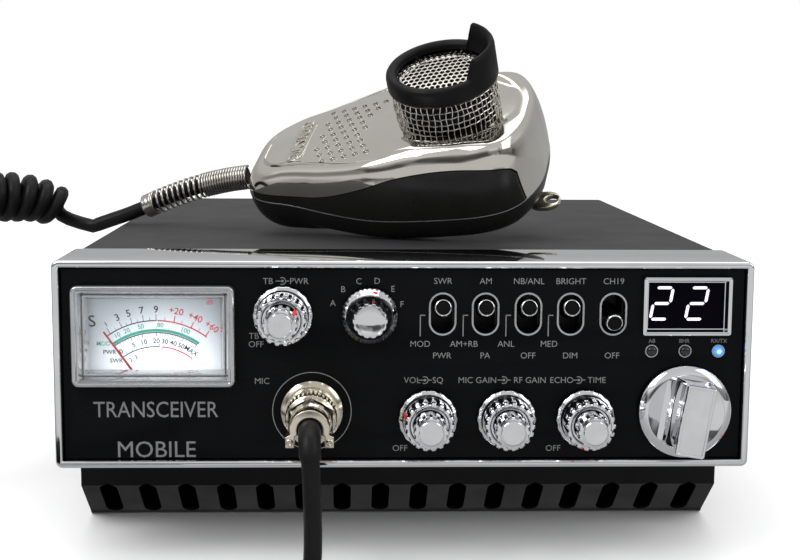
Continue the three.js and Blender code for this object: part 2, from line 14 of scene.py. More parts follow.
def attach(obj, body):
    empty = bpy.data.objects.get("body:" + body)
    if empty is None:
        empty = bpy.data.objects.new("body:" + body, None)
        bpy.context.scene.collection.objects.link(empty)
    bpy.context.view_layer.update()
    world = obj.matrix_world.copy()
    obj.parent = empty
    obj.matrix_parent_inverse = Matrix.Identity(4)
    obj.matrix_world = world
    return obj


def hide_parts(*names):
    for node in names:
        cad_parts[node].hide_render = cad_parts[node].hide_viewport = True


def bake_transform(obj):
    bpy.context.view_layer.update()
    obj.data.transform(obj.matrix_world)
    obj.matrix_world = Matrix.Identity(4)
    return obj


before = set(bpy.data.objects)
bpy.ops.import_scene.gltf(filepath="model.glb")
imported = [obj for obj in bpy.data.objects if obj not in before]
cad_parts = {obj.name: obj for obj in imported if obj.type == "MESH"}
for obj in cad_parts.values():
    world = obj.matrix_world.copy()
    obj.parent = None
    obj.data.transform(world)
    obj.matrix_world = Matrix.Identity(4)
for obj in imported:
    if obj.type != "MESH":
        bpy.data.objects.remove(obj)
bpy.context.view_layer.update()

MM = 0.001
TAU = 2 * math.pi

# ---- local frames ----
ROW = Matrix.Scale(MM, 4)
PANEL_Y, BEZEL_FOOT = -118.2, 28.5
PANEL = ROW @ Matrix(((1, 0, 0, 0), (0, 0, -1, PANEL_Y), (0, 1, 0, BEZEL_FOOT), (0, 0, 0, 1)))
MIC_ORIGIN = (-48.79, -18.24, 107.15)
MIC_TURN = Vector((0.50873291, -0.1309565, -0.27896462))
MIC = ROW @ Matrix.Translation(MIC_ORIGIN) @ Quaternion(MIC_TURN.normalized(),
                                                        MIC_TURN.length).to_matrix().to_4x4()


def linked(name, data):
    """A new object in the scene."""
    o = bpy.data.objects.new(name, data)
    bpy.context.scene.collection.objects.link(o)
    return o


# ---- camera ----
CAMERA_AT, CAMERA_TURN, LENS = (-15.78, -517.78, 136.38), (0.0355, 0.13283, 0.00642), 63.72


def make_camera():
    yaw, pitch, roll = CAMERA_TURN
    forward = Vector((math.sin(yaw) * math.cos(pitch), math.cos(yaw) * math.cos(pitch), -math.sin(pitch)))
    right = Vector((math.cos(yaw), -math.sin(yaw), 0))
    up = right.cross(forward)
    r = right * math.cos(roll) + up * math.sin(roll)
    u = up * math.cos(roll) - right * math.sin(roll)
    data = bpy.data.cameras.new("camera")
    data.lens, data.sensor_width, data.sensor_fit = LENS, 36, "HORIZONTAL"
    data.clip_start, data.clip_end = 0.01, 50
    camera = linked("camera", data)
    place = Matrix((r, u, -forward)).transposed().to_4x4()
    place.translation = Vector(CAMERA_AT) * MM
    camera.matrix_world = place
    bpy.context.scene.camera = camera


make_camera()


# ---- mesh helpers: a shape is (array of points, list of faces) ----
def merge(*shapes):
    points, faces, n = [], [], 0
    for p, f in shapes:
        points.append(np.asarray(p, float))
        faces += [tuple(i + n for i in face) for face in f]
        n += len(p)
    return np.vstack(points), faces


def moved(shape, x=0.0, y=0.0, z=0.0, turn=0.0):
    p, c, s = np.array(shape[0], float), math.cos(turn), math.sin(turn)
    q = p.copy()
    q[:, 0], q[:, 1] = p[:, 0] * c - p[:, 1] * s + x, p[:, 0] * s + p[:, 1] * c + y
    q[:, 2] += z
    return q, shape[1]


def lifted(outline, z):
    """A 2D outline at height z."""
    return np.column_stack([outline, np.full(len(outline), z)])


def revolve(profile, n=48, ripple=None):
    """Turns (radius, height) pairs about z. ripple(angle, k) adds to the radius of profile point k."""
    points, rows = [], []
    for k, (r, h) in enumerate(profile):
        if r < 1e-6:
            rows.append([len(points)] * n)
            points.append((0, 0, h))
            continue
        rows.append(list(range(len(points), len(points) + n)))
        for i in range(n):
            a = TAU * i / n
            q = r + (ripple(a, k) if ripple else 0)
            points.append((q * math.cos(a), q * math.sin(a), h))
    faces = []
    for a, b in zip(rows, rows[1:]):
        for i in range(n):
            j = (i + 1) % n
            face = list(dict.fromkeys((a[i], a[j], b[j], b[i])))
            if len(face) > 2:
                faces.append(tuple(face))
    return np.array(points, float), faces


def loft(rings, loop=False, caps=True):
    """Joins rings of equal length; loop joins the last ring to the first."""
    n, points = len(rings[0]), np.vstack([np.asarray(r, float) for r in rings])
    faces, last = [], len(rings)
    for k in range(last if loop else last - 1):
        a, b = k * n, ((k + 1) % last) * n
        faces += [(a + i, a + (i + 1) % n, b + (i + 1) % n, b + i) for i in range(n)]
    if caps and not loop:
        faces += [tuple(range(n)), tuple(range((last - 1) * n, last * n))]
    return points, faces


def zipped(rings):
    """Like loft, but each end ring, a mirrored outline, is closed by strips between its mirrored points."""
    n = len(rings[0])
    points, faces = loft(rings, caps=False)
    for base in (0, (len(rings) - 1) * n):
        faces += [(base + i, base + i + 1, base + n - 2 - i, base + n - 1 - i) for i in range(n // 2 - 1)]
    return points, faces


def tangents(p, closed=False):
    if closed:
        d = np.roll(p, -1, 0) - np.roll(p, 1, 0)
    else:
        d = np.gradient(p, axis=0)
    return d / np.maximum(np.linalg.norm(d, axis=1, keepdims=True), 1e-12)


def carried(p, first=(0, 0, 1)):
    """Frames carried along an open line without twist: tangents, sides and ups."""
    t = tangents(p)
    u = np.cross(t[0], np.cross(np.array(first, float), t[0]))
    u /= np.linalg.norm(u)
    ups = [u]
    for k in range(1, len(p)):
        u = ups[-1] - t[k] * (ups[-1] @ t[k])
        ups.append(u / np.linalg.norm(u))
    ups = np.array(ups)
    return t, np.cross(t, ups), ups


def sweep(points, radius, sides=8, closed=False):
    """A round bar along a line; radius may be a list."""
    p = np.asarray(points, float)
    r = np.broadcast_to(np.asarray(radius, float), (len(p),))
    if closed:
        q = np.vstack([p, p[:1]])
        _, s, u = carried(q, (0, 0, 1) if abs(tangents(q)[0][2]) < 0.9 else (1, 0, 0))
        s, u = s[:-1], u[:-1]
    else:
        t = tangents(p)[0]
        _, s, u = carried(p, (0, 0, 1) if abs(t[2]) < 0.9 else (0, 1, 0))
    a = TAU * np.arange(sides) / sides
    rings = [p[k] + r[k] * (np.cos(a)[:, None] * s[k] + np.sin(a)[:, None] * u[k]) for k in range(len(p))]
    return loft(rings, loop=closed)


def strip(points, width, z0, z1, closed=False):
    """A flat printed line of some width along 2D points, as a thin solid."""
    p = np.asarray(points, float)
    t = tangents(p, closed)
    nxt = np.roll(p, -1, 0) - p if closed else np.vstack([p[1:] - p[:-1], p[-1:] - p[-2:-1]])
    nxt /= np.maximum(np.linalg.norm(nxt, axis=1, keepdims=True), 1e-12)
    scale = width / 2 / np.maximum((t * nxt).sum(1), 0.5)
    side = np.stack([-t[:, 1], t[:, 0]], 1) * scale[:, None]
    rings = [np.stack([a, b, c, d]) for a, b, c, d in
             zip(lifted(p + side, z0), lifted(p - side, z0), lifted(p - side, z1), lifted(p + side, z1))]
    return loft(rings, loop=closed)


def prism(outline, z0, z1):
    p = np.asarray(outline, float)
    return loft([lifted(p, z) for z in (z0, z1)])


def arc(cx, cy, r, a0, a1, n):
    a = np.linspace(a0, a1, n)
    return np.column_stack([cx + r * np.cos(a), cy + r * np.sin(a)])


def rounded(w, h, r, n=6, cx=0.0, cy=0.0):
    """A rounded rectangle, counter-clockwise from its right side's top."""
    q = math.pi / 2
    corners = ((1, 1, 0), (-1, 1, 1), (-1, -1, 2), (1, -1, 3))
    return np.vstack([arc(cx + sx * (w / 2 - r), cy + sy * (h / 2 - r), r, k * q, (k + 1) * q, n + 1)
                      for sx, sy, k in corners])


def frame_rings(w, h, r, profile, n=8):
    """Rounded rectangles at each (inset, height) of a profile."""
    return [lifted(rounded(w - 2 * d, h - 2 * d, max(r - d, 0.15), n), z) for d, z in profile]


def evaluated(o):
    """The mesh that an object shows, with its modifiers applied."""
    bpy.context.view_layer.update()
    return bpy.data.meshes.new_from_object(o.evaluated_get(bpy.context.evaluated_depsgraph_get()))


def smoothed(mesh, degrees):
    mesh.shade_smooth()
    mesh.set_sharp_from_angle(angle=math.radians(degrees))


def from_curve(data):
    """The mesh of a filled curve or text, as a shape."""
    o = linked("scratch", data)
    mesh = evaluated(o)
    p = np.zeros(len(mesh.vertices) * 3, np.float32)
    mesh.vertices.foreach_get("co", p)
    faces = [tuple(f.vertices) for f in mesh.polygons]
    bpy.data.objects.remove(o)
    bpy.data.meshes.remove(mesh)
    return p.reshape(-1, 3).astype(float), faces


def plate(outlines, z0, z1, bevel=0.0):
    """A flat plate with holes, its first outline the outer one, with rounded edges."""
    data = bpy.data.curves.new("scratch", "CURVE")
    data.dimensions, data.fill_mode = "2D", "BOTH"
    data.extrude, data.bevel_depth, data.bevel_resolution = (z1 - z0) / 2 - bevel, bevel, 2
    data.offset = -bevel
    for outline in outlines:
        spline = data.splines.new("POLY")
        spline.points.add(len(outline) - 1)
        for point, (x, y) in zip(spline.points, outline):
            point.co = (x, y, 0, 1)
        spline.use_cyclic_u = True
    shape = from_curve(data)
    bpy.data.curves.remove(data)
    return moved(shape, z=(z0 + z1) / 2)


def text(body, x, y, cap, z, turn=0.0, thick=0.04, stretch=1.0, weight=0.0):
    """Flat lettering whose capitals are cap tall, centred on (x, y)."""
    data = bpy.data.curves.new("scratch", "FONT")
    data.body, data.align_x, data.resolution_u = body, "CENTER", 3
    data.size = cap / CAP_HEIGHT
    data.extrude, data.offset = thick / 2, weight
    shape = from_curve(data)
    bpy.data.curves.remove(data)
    p, faces = shape
    p = p * (stretch, 1, 1) - (0, cap / 2, 0)
    return moved((p, faces), x, y, z + thick / 2, turn)


CAP_HEIGHT = 1.0
CAP_HEIGHT = float(np.ptp(text("H", 0, 0, 1, 0)[0][:, 1]))


def build(name, shape, to, materials, sharp=35, groups=None, smooth=True):
    """A mesh object from a shape in a local frame. groups is a material number for each face."""
    mesh = bpy.data.meshes.new(name)
    points = [to @ Vector(p) for p in shape[0]]
    mesh.from_pydata(points, [], shape[1])
    for m in materials if isinstance(materials, (list, tuple)) else [materials]:
        mesh.materials.append(m)
    if groups is not None:
        mesh.polygons.foreach_set("material_index", groups)
    bm = bmesh.new()
    bm.from_mesh(mesh)
    bmesh.ops.remove_doubles(bm, verts=bm.verts, dist=2e-7)
    bmesh.ops.dissolve_degenerate(bm, edges=bm.edges, dist=1e-8)
    bmesh.ops.recalc_face_normals(bm, faces=bm.faces)
    bm.to_mesh(mesh)
    bm.free()
    if smooth:
        smoothed(mesh, sharp)
    return linked(name, mesh)


def piece(name, shape, materials, slot, replaces=(), to=PANEL, body="radio", **how):
    """A visible piece that rides on a body and may stand for CAD nodes."""
    o = build(name, shape, to, materials, **how)
    if replaces:
        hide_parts(*replaces)
    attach(o, body)


def on_mic(name, shape, materials, slot, replaces=(), **how):
    piece(name, shape, materials, slot, replaces, MIC, "microphone", **how)


def boolean(a, b, operation):
    """Leaves a as a minus b or the part of a in b, and removes b."""
    m = a.modifiers.new("cut", "BOOLEAN")
    m.operation, m.object, m.solver = operation, b, "EXACT"
    mesh = evaluated(a)
    a.modifiers.clear()
    a.data = mesh
    bpy.data.objects.remove(b)


# ---- materials ----
def put(node, values):
    """Sets a node's inputs by name."""
    for key, value in values.items():
        node.inputs[key].default_value = value
    return node


def surface(name, colour, rough, metal=0.0, shade=None, vary=0.25, grain=0.0, scale=900.0, tone=60.0,
            depth=0.00002, coat=0.0, spec=0.5, smudge=0.0):
    """A procedural finish: colour drifts to shade and roughness varies in soft patches, with a fine grain."""
    m = bpy.data.materials.new(name)
    m.use_nodes = True
    nodes, links = m.node_tree.nodes, m.node_tree.links
    b = put(nodes["Principled BSDF"], {"Metallic": metal, "Specular IOR Level": spec, "Coat Weight": coat,
                                       "Coat Roughness": 0.08})
    where = nodes.new("ShaderNodeTexCoord").outputs["Object"]

    def noise(s, d=3.0, distortion=0.0):
        n = put(nodes.new("ShaderNodeTexNoise"), {"Scale": s, "Detail": d, "Distortion": distortion})
        links.new(where, n.inputs["Vector"])
        return n.outputs["Fac"]

    soft = noise(tone, 3.0, 0.6)
    ramp = nodes.new("ShaderNodeValToRGB")
    low, high = ramp.color_ramp.elements
    low.position, high.position = 0.32, 0.7
    low.color = (*(shade or [c * 0.82 for c in colour]), 1)
    high.color = (*colour, 1)
    links.new(soft, ramp.inputs["Fac"])
    links.new(ramp.outputs["Color"], b.inputs["Base Color"])
    spread = put(nodes.new("ShaderNodeMapRange"), {
        "From Min": 0.3, "From Max": 0.72, "To Min": max(rough * (1 - vary), 0.01),
        "To Max": min(rough * (1 + vary) + smudge, 1)})
    links.new(noise(tone * 2.3, 5.0), spread.inputs["Value"])
    links.new(spread.outputs["Result"], b.inputs["Roughness"])
    if grain:
        bump = put(nodes.new("ShaderNodeBump"), {"Strength": grain, "Distance": depth})
        links.new(noise(scale, 4.0), bump.inputs["Height"])
        links.new(bump.outputs["Normal"], b.inputs["Normal"])
    return m


def glowing(m, colour, strength):
    put(m.node_tree.nodes["Principled BSDF"], {"Emission Color": (*colour, 1), "Emission Strength": strength})
    return m


chrome = surface("chrome", (0.86, 0.87, 0.89), 0.045, 1.0, shade=(0.80, 0.81, 0.83), vary=0.5, grain=0.05,
                 scale=260, tone=90, depth=0.00003)
satin_chrome = surface("satin_chrome", (0.86, 0.87, 0.88), 0.22, 1.0, shade=(0.8, 0.81, 0.82), vary=0.3,
                       grain=0.1, scale=2600, tone=120)
mic_plate = surface("mic_plating", (0.74, 0.715, 0.66), 0.075, 1.0, shade=(0.68, 0.655, 0.60), vary=0.4,
                    grain=0.04, scale=160, tone=45, depth=0.00004, smudge=0.02)
nickel = surface("nickel", (0.80, 0.74, 0.62), 0.16, 1.0, shade=(0.68, 0.62, 0.50), vary=0.4, grain=0.12,
                 scale=1200, tone=160)
steel = surface("steel", (0.52, 0.53, 0.54), 0.34, 1.0, shade=(0.42, 0.43, 0.44), grain=0.2, scale=1800,
                tone=50)
spring_steel = surface("spring_steel", (0.66, 0.64, 0.60), 0.17, 1.0, shade=(0.5, 0.48, 0.44), grain=0.1,
                       tone=200)
wire_steel = surface("wire_steel", (0.80, 0.77, 0.71), 0.22, 1.0, shade=(0.5, 0.47, 0.42), grain=0.1,
                     tone=240)
panel_black = surface("panel_black", (0.0034, 0.0036, 0.0042), 0.26, shade=(0.0026, 0.0028, 0.0033),
                      grain=0.1, scale=3000, tone=30, spec=0.06)
cover_paint = surface("cover_paint", (0.037, 0.037, 0.039), 0.62, shade=(0.0345, 0.0345, 0.0365), vary=0.1,
                      grain=0.35, scale=2400, tone=22, depth=0.00004, spec=0.16)
base_paint = surface("base_paint", (0.0045, 0.0045, 0.005), 0.4, shade=(0.003, 0.003, 0.0035), grain=0.35,
                     scale=2100, tone=26, depth=0.00004, spec=0.14)
fin_black = surface("anodised_black", (0.012, 0.012, 0.013), 0.4, 0.4, grain=0.25, scale=2600, tone=35)
board_green = surface("board_green", (0.012, 0.075, 0.03), 0.45, shade=(0.008, 0.05, 0.02), grain=0.3,
                      scale=500)
plastic = surface("black_plastic", (0.008, 0.008, 0.009), 0.38, grain=0.2, scale=1900, tone=60, spec=0.4)
mic_black = surface("mic_black", (0.0085, 0.0083, 0.0075), 0.3, shade=(0.0065, 0.0063, 0.006), grain=0.22,
                    scale=2600, tone=40, depth=0.00002, spec=0.3)
rubber = surface("rubber", (0.0035, 0.0035, 0.0038), 0.48, shade=(0.0025, 0.0025, 0.0028), grain=0.35,
                 scale=1500, tone=90, depth=0.00003, spec=0.14)
lever_black = surface("lever_black", (0.003, 0.003, 0.0033), 0.5, tone=200, grain=0.1, spec=0.1)
cord_skin = surface("cord_skin", (0.005, 0.005, 0.0053), 0.45, shade=(0.0035, 0.0035, 0.0038), grain=0.3,
                    scale=1300, tone=120, depth=0.00003, spec=0.2)
foam = surface("foam", (0.006, 0.006, 0.006), 0.95, grain=1.0, scale=1500, tone=200, depth=0.0003, spec=0.1)
print_grey = surface("print_grey", (0.185, 0.188, 0.19), 0.5, shade=(0.16, 0.162, 0.165), tone=200, grain=0.1)
print_light = surface("print_light", (0.27, 0.275, 0.28), 0.45, shade=(0.23, 0.235, 0.24), tone=200,
                      grain=0.1)
print_silver = surface("print_silver", (0.155, 0.158, 0.165), 0.4, shade=(0.135, 0.138, 0.145), tone=120,
                       grain=0.1)
ink_black = surface("ink_black", (0.012, 0.013, 0.016), 0.6, tone=300)
ink_red = surface("ink_red", (0.75, 0.02, 0.035), 0.55, shade=(0.62, 0.015, 0.03), tone=300)
ink_teal = surface("ink_teal", (0.03, 0.48, 0.36), 0.55, shade=(0.025, 0.40, 0.30), tone=300)
needle_red = surface("needle_red", (0.5, 0.01, 0.02), 0.4, shade=(0.4, 0.008, 0.016), tone=150)
lamp_dark = surface("lamp_dark", (0.004, 0.004, 0.005), 0.12, tone=500, coat=0.5)
display_black = surface("display_black", (0.0012, 0.0008, 0.003), 0.2, shade=(0.001, 0.0006, 0.002), tone=200,
                        spec=0.03)
digit_glow = glowing(surface("digit_glow", (0.5, 0.48, 0.56), 0.4, tone=400), (0.90, 0.80, 1.0), 1.05)
blue_glow = glowing(surface("blue_glow", (0.05, 0.2, 0.9), 0.2, tone=500), (0.04, 0.2, 1.0), 1.3)
blue_core = glowing(surface("blue_core", (0.3, 0.6, 1.0), 0.2, tone=500), (0.4, 0.75, 1.0), 1.5)


def make_clear():
    m = surface("meter_clear", (0.9, 0.92, 0.94), 0.04, tone=40)
    put(m.node_tree.nodes["Principled BSDF"], {"Alpha": 0.025})
    return m


meter_clear = make_clear()
meter_frame = surface("meter_frame", (0.58, 0.59, 0.60), 0.16, 0.9, shade=(0.50, 0.51, 0.52), vary=0.3,
                      tone=70, grain=0.08)


def make_dial():
    """A back-lit dial: bright near the lamp, below the scale's middle, and blue-grey in the far corners."""
    m = surface("dial_paper", (0.42, 0.48, 0.53), 0.55, shade=(0.38, 0.44, 0.49), tone=120, grain=0.1)
    nodes, links = m.node_tree.nodes, m.node_tree.links
    b = put(nodes["Principled BSDF"], {"Emission Color": (0.93, 0.97, 1.0, 1)})
    where = nodes.new("ShaderNodeTexCoord").outputs["Object"]
    lamp = nodes.new("ShaderNodeVectorMath")
    lamp.operation = "DISTANCE"
    lamp.inputs[1].default_value = PANEL @ Vector((METER_X + 1.5, 22.5, -5.5))
    links.new(where, lamp.inputs[0])
    fall = put(nodes.new("ShaderNodeMapRange"), {"From Min": 0.004, "From Max": 0.031, "To Min": 1.1,
                                                 "To Max": 0.06})
    fall.interpolation_type = "SMOOTHERSTEP"
    links.new(lamp.outputs["Value"], fall.inputs["Value"])
    links.new(fall.outputs["Result"], b.inputs["Emission Strength"])
    return m


METER_X, METER_Y, METER_W, METER_H, PIVOT_Y = -71.65, 38.3, 46.3, 29.2, 17.7
dial_paper = make_dial()

NODE_FINISH = {
    "main_board": board_green, "chassis_frame": steel, "speaker": fin_black, "rear_panel": cover_paint,
    "heat_sink": fin_black, "antenna_socket": nickel, "power_socket": plastic, "speaker_jack": nickel,
    "top_cover": cover_paint, "bottom_cover": base_paint, "meter_case": plastic, "meter_needle": needle_red,
    "display_module": display_black, "switch_bank": plastic, "mic_capsule": foam, "mic_hang_button": nickel,
    "mic_hang_ring": chrome, "mic_socket": nickel,
}
for node_name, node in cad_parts.items():
    finish = NODE_FINISH.get(node_name)
    if finish is None:
        finish = steel if node_name.endswith(("_pot", "_switch")) else chrome
    if not node.data.materials:
        node.data.materials.append(finish)
    for k in range(len(node.material_slots)):
        node.material_slots[k].material = finish
    smoothed(node.data, 32)


# ---- cord: plug tail, curly run and microphone tail as one wire ----
PLUG_TAIL = [(-26.7, -137.2, 44.9), (-26.7, -143.4, 44.8), (-26.5, -148.6, 41.5), (-26, -150.6, 33),
             (-25.6, -150.6, 18), (-26.4, -152.6, 8), (-31, -160, 3.4), (-40, -174, 2.9), (-50, -188, 3.0),
             (-63, -197, 3.4)]
CURL = [(-74, -203, 9.4), (-90, -204.5, 9.4), (-108, -203, 9.4), (-128, -195, 9.4), (-146, -179, 9.4),
        (-161, -158, 9.4), (-174, -136, 9.6), (-186, -112, 13), (-194, -92, 26), (-196, -75, 46),
        (-190.5, -59, 67), (-180, -45, 84), (-166, -32, 94.6), (-152, -21.5, 98.6), (-139.6, -13, 98.3),
        (-134.5, -10, 98.0), (-129.4, -7, 96.6), (-124, -4, 94.2), (-120.5, -2.6, 92.2)]
MIC_TAIL = [(-109, -2.4, 87.0), (-102.8, -3, 89.2), (-96, -4.2, 91.6), (-89.9, -5.8, 94.1)]
SPRING = [(-89.3, -6, 94.4), (-79.5, -9.2, 98.6), (-69.2, -12.4, 102.2), (-60, -15.2, 104.6),
          (-51.6, -17.5, 106.0)]
WIRE_R, HELIX_R, HELIX_PITCH, TURN_POINTS = 2.5, 6.5, 5.35, 18


def along(p):
    """The distance along a line at each of its points."""
    return np.concatenate([[0], np.cumsum(np.linalg.norm(np.diff(p, axis=0), axis=1))])


def looked_up(where, s, p):
    """Points of line p at the distances where, from its own distances s."""
    return np.column_stack([np.interp(where, s, p[:, k]) for k in range(p.shape[1])])


def averaged(p):
    """A line or table with each inner value averaged with its neighbours."""
    return np.concatenate([p[:1], (p[:-2] + 2 * p[1:-1] + p[2:]) / 4, p[-1:]])


def curve_through(points, step):
    """A smooth line through points, resampled at about step mm."""
    p = np.asarray(points, float)
    p = np.vstack([2 * p[0] - p[1], p, 2 * p[-1] - p[-2]])
    out = []
    for a, b, c, d in zip(p, p[1:], p[2:], p[3:]):
        t = np.linspace(0, 1, 24, endpoint=False)[:, None]
        out.append(0.5 * (2 * b + (c - a) * t + (2 * a - 5 * b + 4 * c - d) * t ** 2
                          + (3 * b - a - 3 * c + d) * t ** 3))
    return resample(np.vstack(out + [p[-2:-1]]), step)


def resample(p, step):
    s = along(p)
    n = max(2, int(round(s[-1] / step)) + 1)
    return looked_up(np.linspace(0, s[-1], n), s, p)


def helix_about(axis, radius, pitch, start, end):
    """A helix about an axis line that begins and ends nearest to two directions."""
    t, s, u = carried(axis)
    length = along(axis)
    angle = lambda k, v: math.atan2(np.dot(v, u[k]), np.dot(v, s[k]))
    a0, a1 = angle(0, start), angle(-1, end)
    turns = round((length[-1] / pitch * TAU - (a1 - a0)) / TAU)
    total = a1 - a0 + turns * TAU
    n = int(turns * TURN_POINTS)
    a = np.linspace(0, 1, n + 1)
    where = a * length[-1]
    axis_at, side, up = (looked_up(where, length, line) for line in (axis, s, u))
    phase = a0 + a * total
    return axis_at + radius * (np.cos(phase)[:, None] * side + np.sin(phase)[:, None] * up)


def eased(p, where, reach):
    """Rounds the corner of a line near a point by averaging its neighbours."""
    close = np.linalg.norm(p - where, axis=1)
    weight = np.clip(1.6 - close / reach, 0, 1)[:, None]
    for _ in range(12):
        p = p + weight * (averaged(p) - p)
    return p


down = np.array([0.0, 0.0, -1.0])
plug_line = curve_through(PLUG_TAIL, 2.0)
curl_line = helix_about(curve_through(CURL, 1.0), HELIX_R, HELIX_PITCH, down, down)
mic_line = np.vstack([curve_through(MIC_TAIL, 2.0), curve_through(SPRING, 2.0)[1:]])
cord_line = np.vstack([plug_line, curl_line[1:-1], mic_line])
cord_line = eased(cord_line, curl_line[0], 9.0)
cord_line = eased(cord_line, curl_line[-1], 9.0)
cord = build("cord", sweep(cord_line, WIRE_R, 10), ROW, cord_skin, sharp=60)
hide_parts("cord_plug_tail", "cord_curl", "cord_mic_tail")
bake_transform(cord)


# ---- bezel and front panel ----
BEZEL_PROFILE = [(0, -29.2), (0, 0.9), (0.12, 1.35), (0.45, 1.7), (0.85, 1.8), (1.45, 1.8), (1.8, 1.65),
                 (2.05, 1.3), (2.2, 0.8), (2.2, -29.2)]
BEZEL_W, BEZEL_H, BEZEL_R = 200, 60, 2
piece("bezel", moved(loft(frame_rings(BEZEL_W, BEZEL_H, BEZEL_R, BEZEL_PROFILE), loop=True), y=BEZEL_H / 2),
      chrome, "bezel_chrome", ["front_bezel"], sharp=50)
TOGGLE_X, TOGGLE_Y, TOGGLE_TILT = (10.7, 23.0, 35.3, 47.5, 59.8), 44.65, math.radians(13)
DUAL = {"power": (-34.9, 44.3), "volume": (6.7, 14.2), "mic_gain": (29.4, 14.2), "echo": (52.3, 14.2)}
BAND, CHANNEL, JACK = (-10.2, 44.3), (81.1, 16.4), (-26.7, 16.4)
LED_X, LED_Y, DISPLAY = (71.2, 80.9, 90.6), 33.9, (80.8, 47.2)
circle = lambda r, x, y, n=40: arc(x, y, r, 0, TAU, n + 1)[:-1]
panel_holes = [rounded(METER_W - 4, METER_H - 4, 0.8, 6, METER_X, METER_Y),
               rounded(22, 13.6, 0.6, 6, *DISPLAY)]
panel_holes += [circle(1.5, x, LED_Y, 32) for x in LED_X]
panel_holes += [rounded(6.7, 11.2, 3.34, 14, x, TOGGLE_Y) for x in TOGGLE_X]
panel_holes += [circle(4.8, x, y) for x, y in (*DUAL.values(), BAND, CHANNEL)] + [circle(7.8, *JACK)]
piece("panel", plate([rounded(BEZEL_W - 5, BEZEL_H - 5, 0.2, 3, 0, BEZEL_H / 2)] + panel_holes, -3, 0, 0.15),
      panel_black, "panel_black", ["front_panel"], sharp=40)

# ---- lettering and lines printed on the panel ----
P0, P1 = 0.0, 0.05
SMALL = 1.72


def concentric_mark(x, y):
    """The small sign for a control inside a control, between two labels."""
    return [strip([(x - 1.9, y), (x - 0.3, y)], 0.22, P0, P1), strip([(x + 0.9, y), (x + 1.9, y)], 0.22, P0,
            P1), strip(arc(x - 0.1, y, 1.0, -2.1, 2.1, 14), 0.22, P0, P1),
            prism(circle(0.36, x, y, 12), P0, P1)]


LABELS = [("TB", -39.1, 54.1), ("PWR", -30.3, 54.1), ("TB", -43.2, 38.3), ("OFF", -42.6, 35.9),
          ("A", -20.7, 47.8), ("B", -17.8, 51.8), ("C", -13.3, 54.1), ("D", -8.1, 54.2), ("E", -3.6, 51.9),
          ("F", -1.0, 47.5), ("SWR", 10.7, 54.2), ("AM", 23.0, 54.2), ("NB/ANL", 35.3, 54.2),
          ("BRIGHT", 47.4, 54.2), ("CH19", 59.7, 54.2), ("MOD", 4.3, 36.0), ("AM+RB", 16.9, 36.0),
          ("ANL", 29.0, 36.0), ("MED", 41.4, 36.0), ("PWR", 10.6, 32.6), ("PA", 23.0, 32.6),
          ("OFF", 35.4, 32.6), ("DIM", 47.6, 32.6), ("OFF", 59.7, 32.6), ("MIC", -41.0, 25.2),
          ("VOL", 2.1, 25.4), ("SQ", 9.5, 25.4), ("MIC GAIN", 20.9, 25.4), ("RF GAIN", 36.1, 25.4),
          ("ECHO", 45.3, 25.4), ("TIME", 55.5, 25.4), ("OFF", -1.3, 5.4), ("OFF", 43.2, 5.3),]
printing = [text(s, x, y, SMALL, P0, thick=0.05, weight=-0.018) for s, x, y in LABELS]
for x, y in ((-35.0, 54.1), (5.8, 25.4), (28.6, 25.4), (50.3, 25.4)):
    printing += concentric_mark(x, y)
for x in TOGGLE_X[:4]:
    printing += [strip([(x - 6.4, 38.2), (x - 6.4, 44.3)], 0.28, P0, P1),
                 strip([(x - 6.54, 44.3), (x - 5.0, 44.3)], 0.28, P0, P1)]
printing.append(strip(circle(11.3, *JACK, 96), 0.22, P0, P1, True))
piece("panel_lettering", merge(*printing), print_grey, "panel_black", smooth=False)
outlines = [strip(rounded(7.4, 11.95, 3.69, 14, x, TOGGLE_Y)[:-1], 0.5, P0, 0.12, True) for x in TOGGLE_X]
outlines += [strip(circle(1.72, x, LED_Y, 40), 0.3, P0, 0.12, True) for x in LED_X]
piece("switch_outlines", merge(*outlines), print_light, "panel_black", smooth=False)
lamp_words = [text(s, x, 36.9, 1.1, P0, thick=0.05) for s, x in (("AB", 71.2), ("BHR", 80.6),
        ("RX/TX", 90.7))]
piece("lamp_lettering", merge(*lamp_words), print_silver, "panel_black", smooth=False)
titles = [text("TRANSCEIVER", -71.4, 16.9, 4.5, P0, thick=0.06, stretch=0.86),
          text("MOBILE", -71.4, 5.2, 4.6, P0, thick=0.06, stretch=1.0)]
piece("title_lettering", merge(*titles), print_silver, "panel_black", smooth=False)

# ---- signal meter ----
METER_PROFILE = [(2.3, -2.9), (2.3, 0.3), (0, 0.3), (0, 1.7), (0.1, 2.2), (0.35, 2.55), (0.7, 2.7),
                 (1.05, 2.62), (1.3, 2.4), (1.42, 2.0), (1.5, 1.85), (1.65, 1.8), (1.95, 1.8), (2.75, 0.2),
                 (2.8, -0.4), (2.8, -2.9)]
piece("meter_surround", moved(loft(frame_rings(METER_W, METER_H, 2, METER_PROFILE), loop=True), METER_X,
                              METER_Y), meter_frame, "meter_clear", ["meter_bezel"], sharp=40)
inner_frame = [(0, -2.6), (0, -0.6), (0.2, -0.3), (0.6, -0.3), (1.5, -2.4), (1.5, -2.6)]
piece("meter_inner_frame", moved(loft(frame_rings(40.6, 23.5, 0.6, inner_frame), loop=True), METER_X,
                                 METER_Y), meter_frame, "meter_clear", sharp=40)
piece("meter_glass", moved(plate([rounded(40.6, 23.4, 0.6)], 0.5, 1.3, 0.2), METER_X, METER_Y), meter_clear,
      "meter_clear", ["meter_window"])
piece("dial_plate", plate([rounded(42, 29.9, 0.5, 4, METER_X, 36.75)], -6.5, -5.5, 0.1), dial_paper,
      "meter_dial", ["meter_dial"])
D0 = -5.5


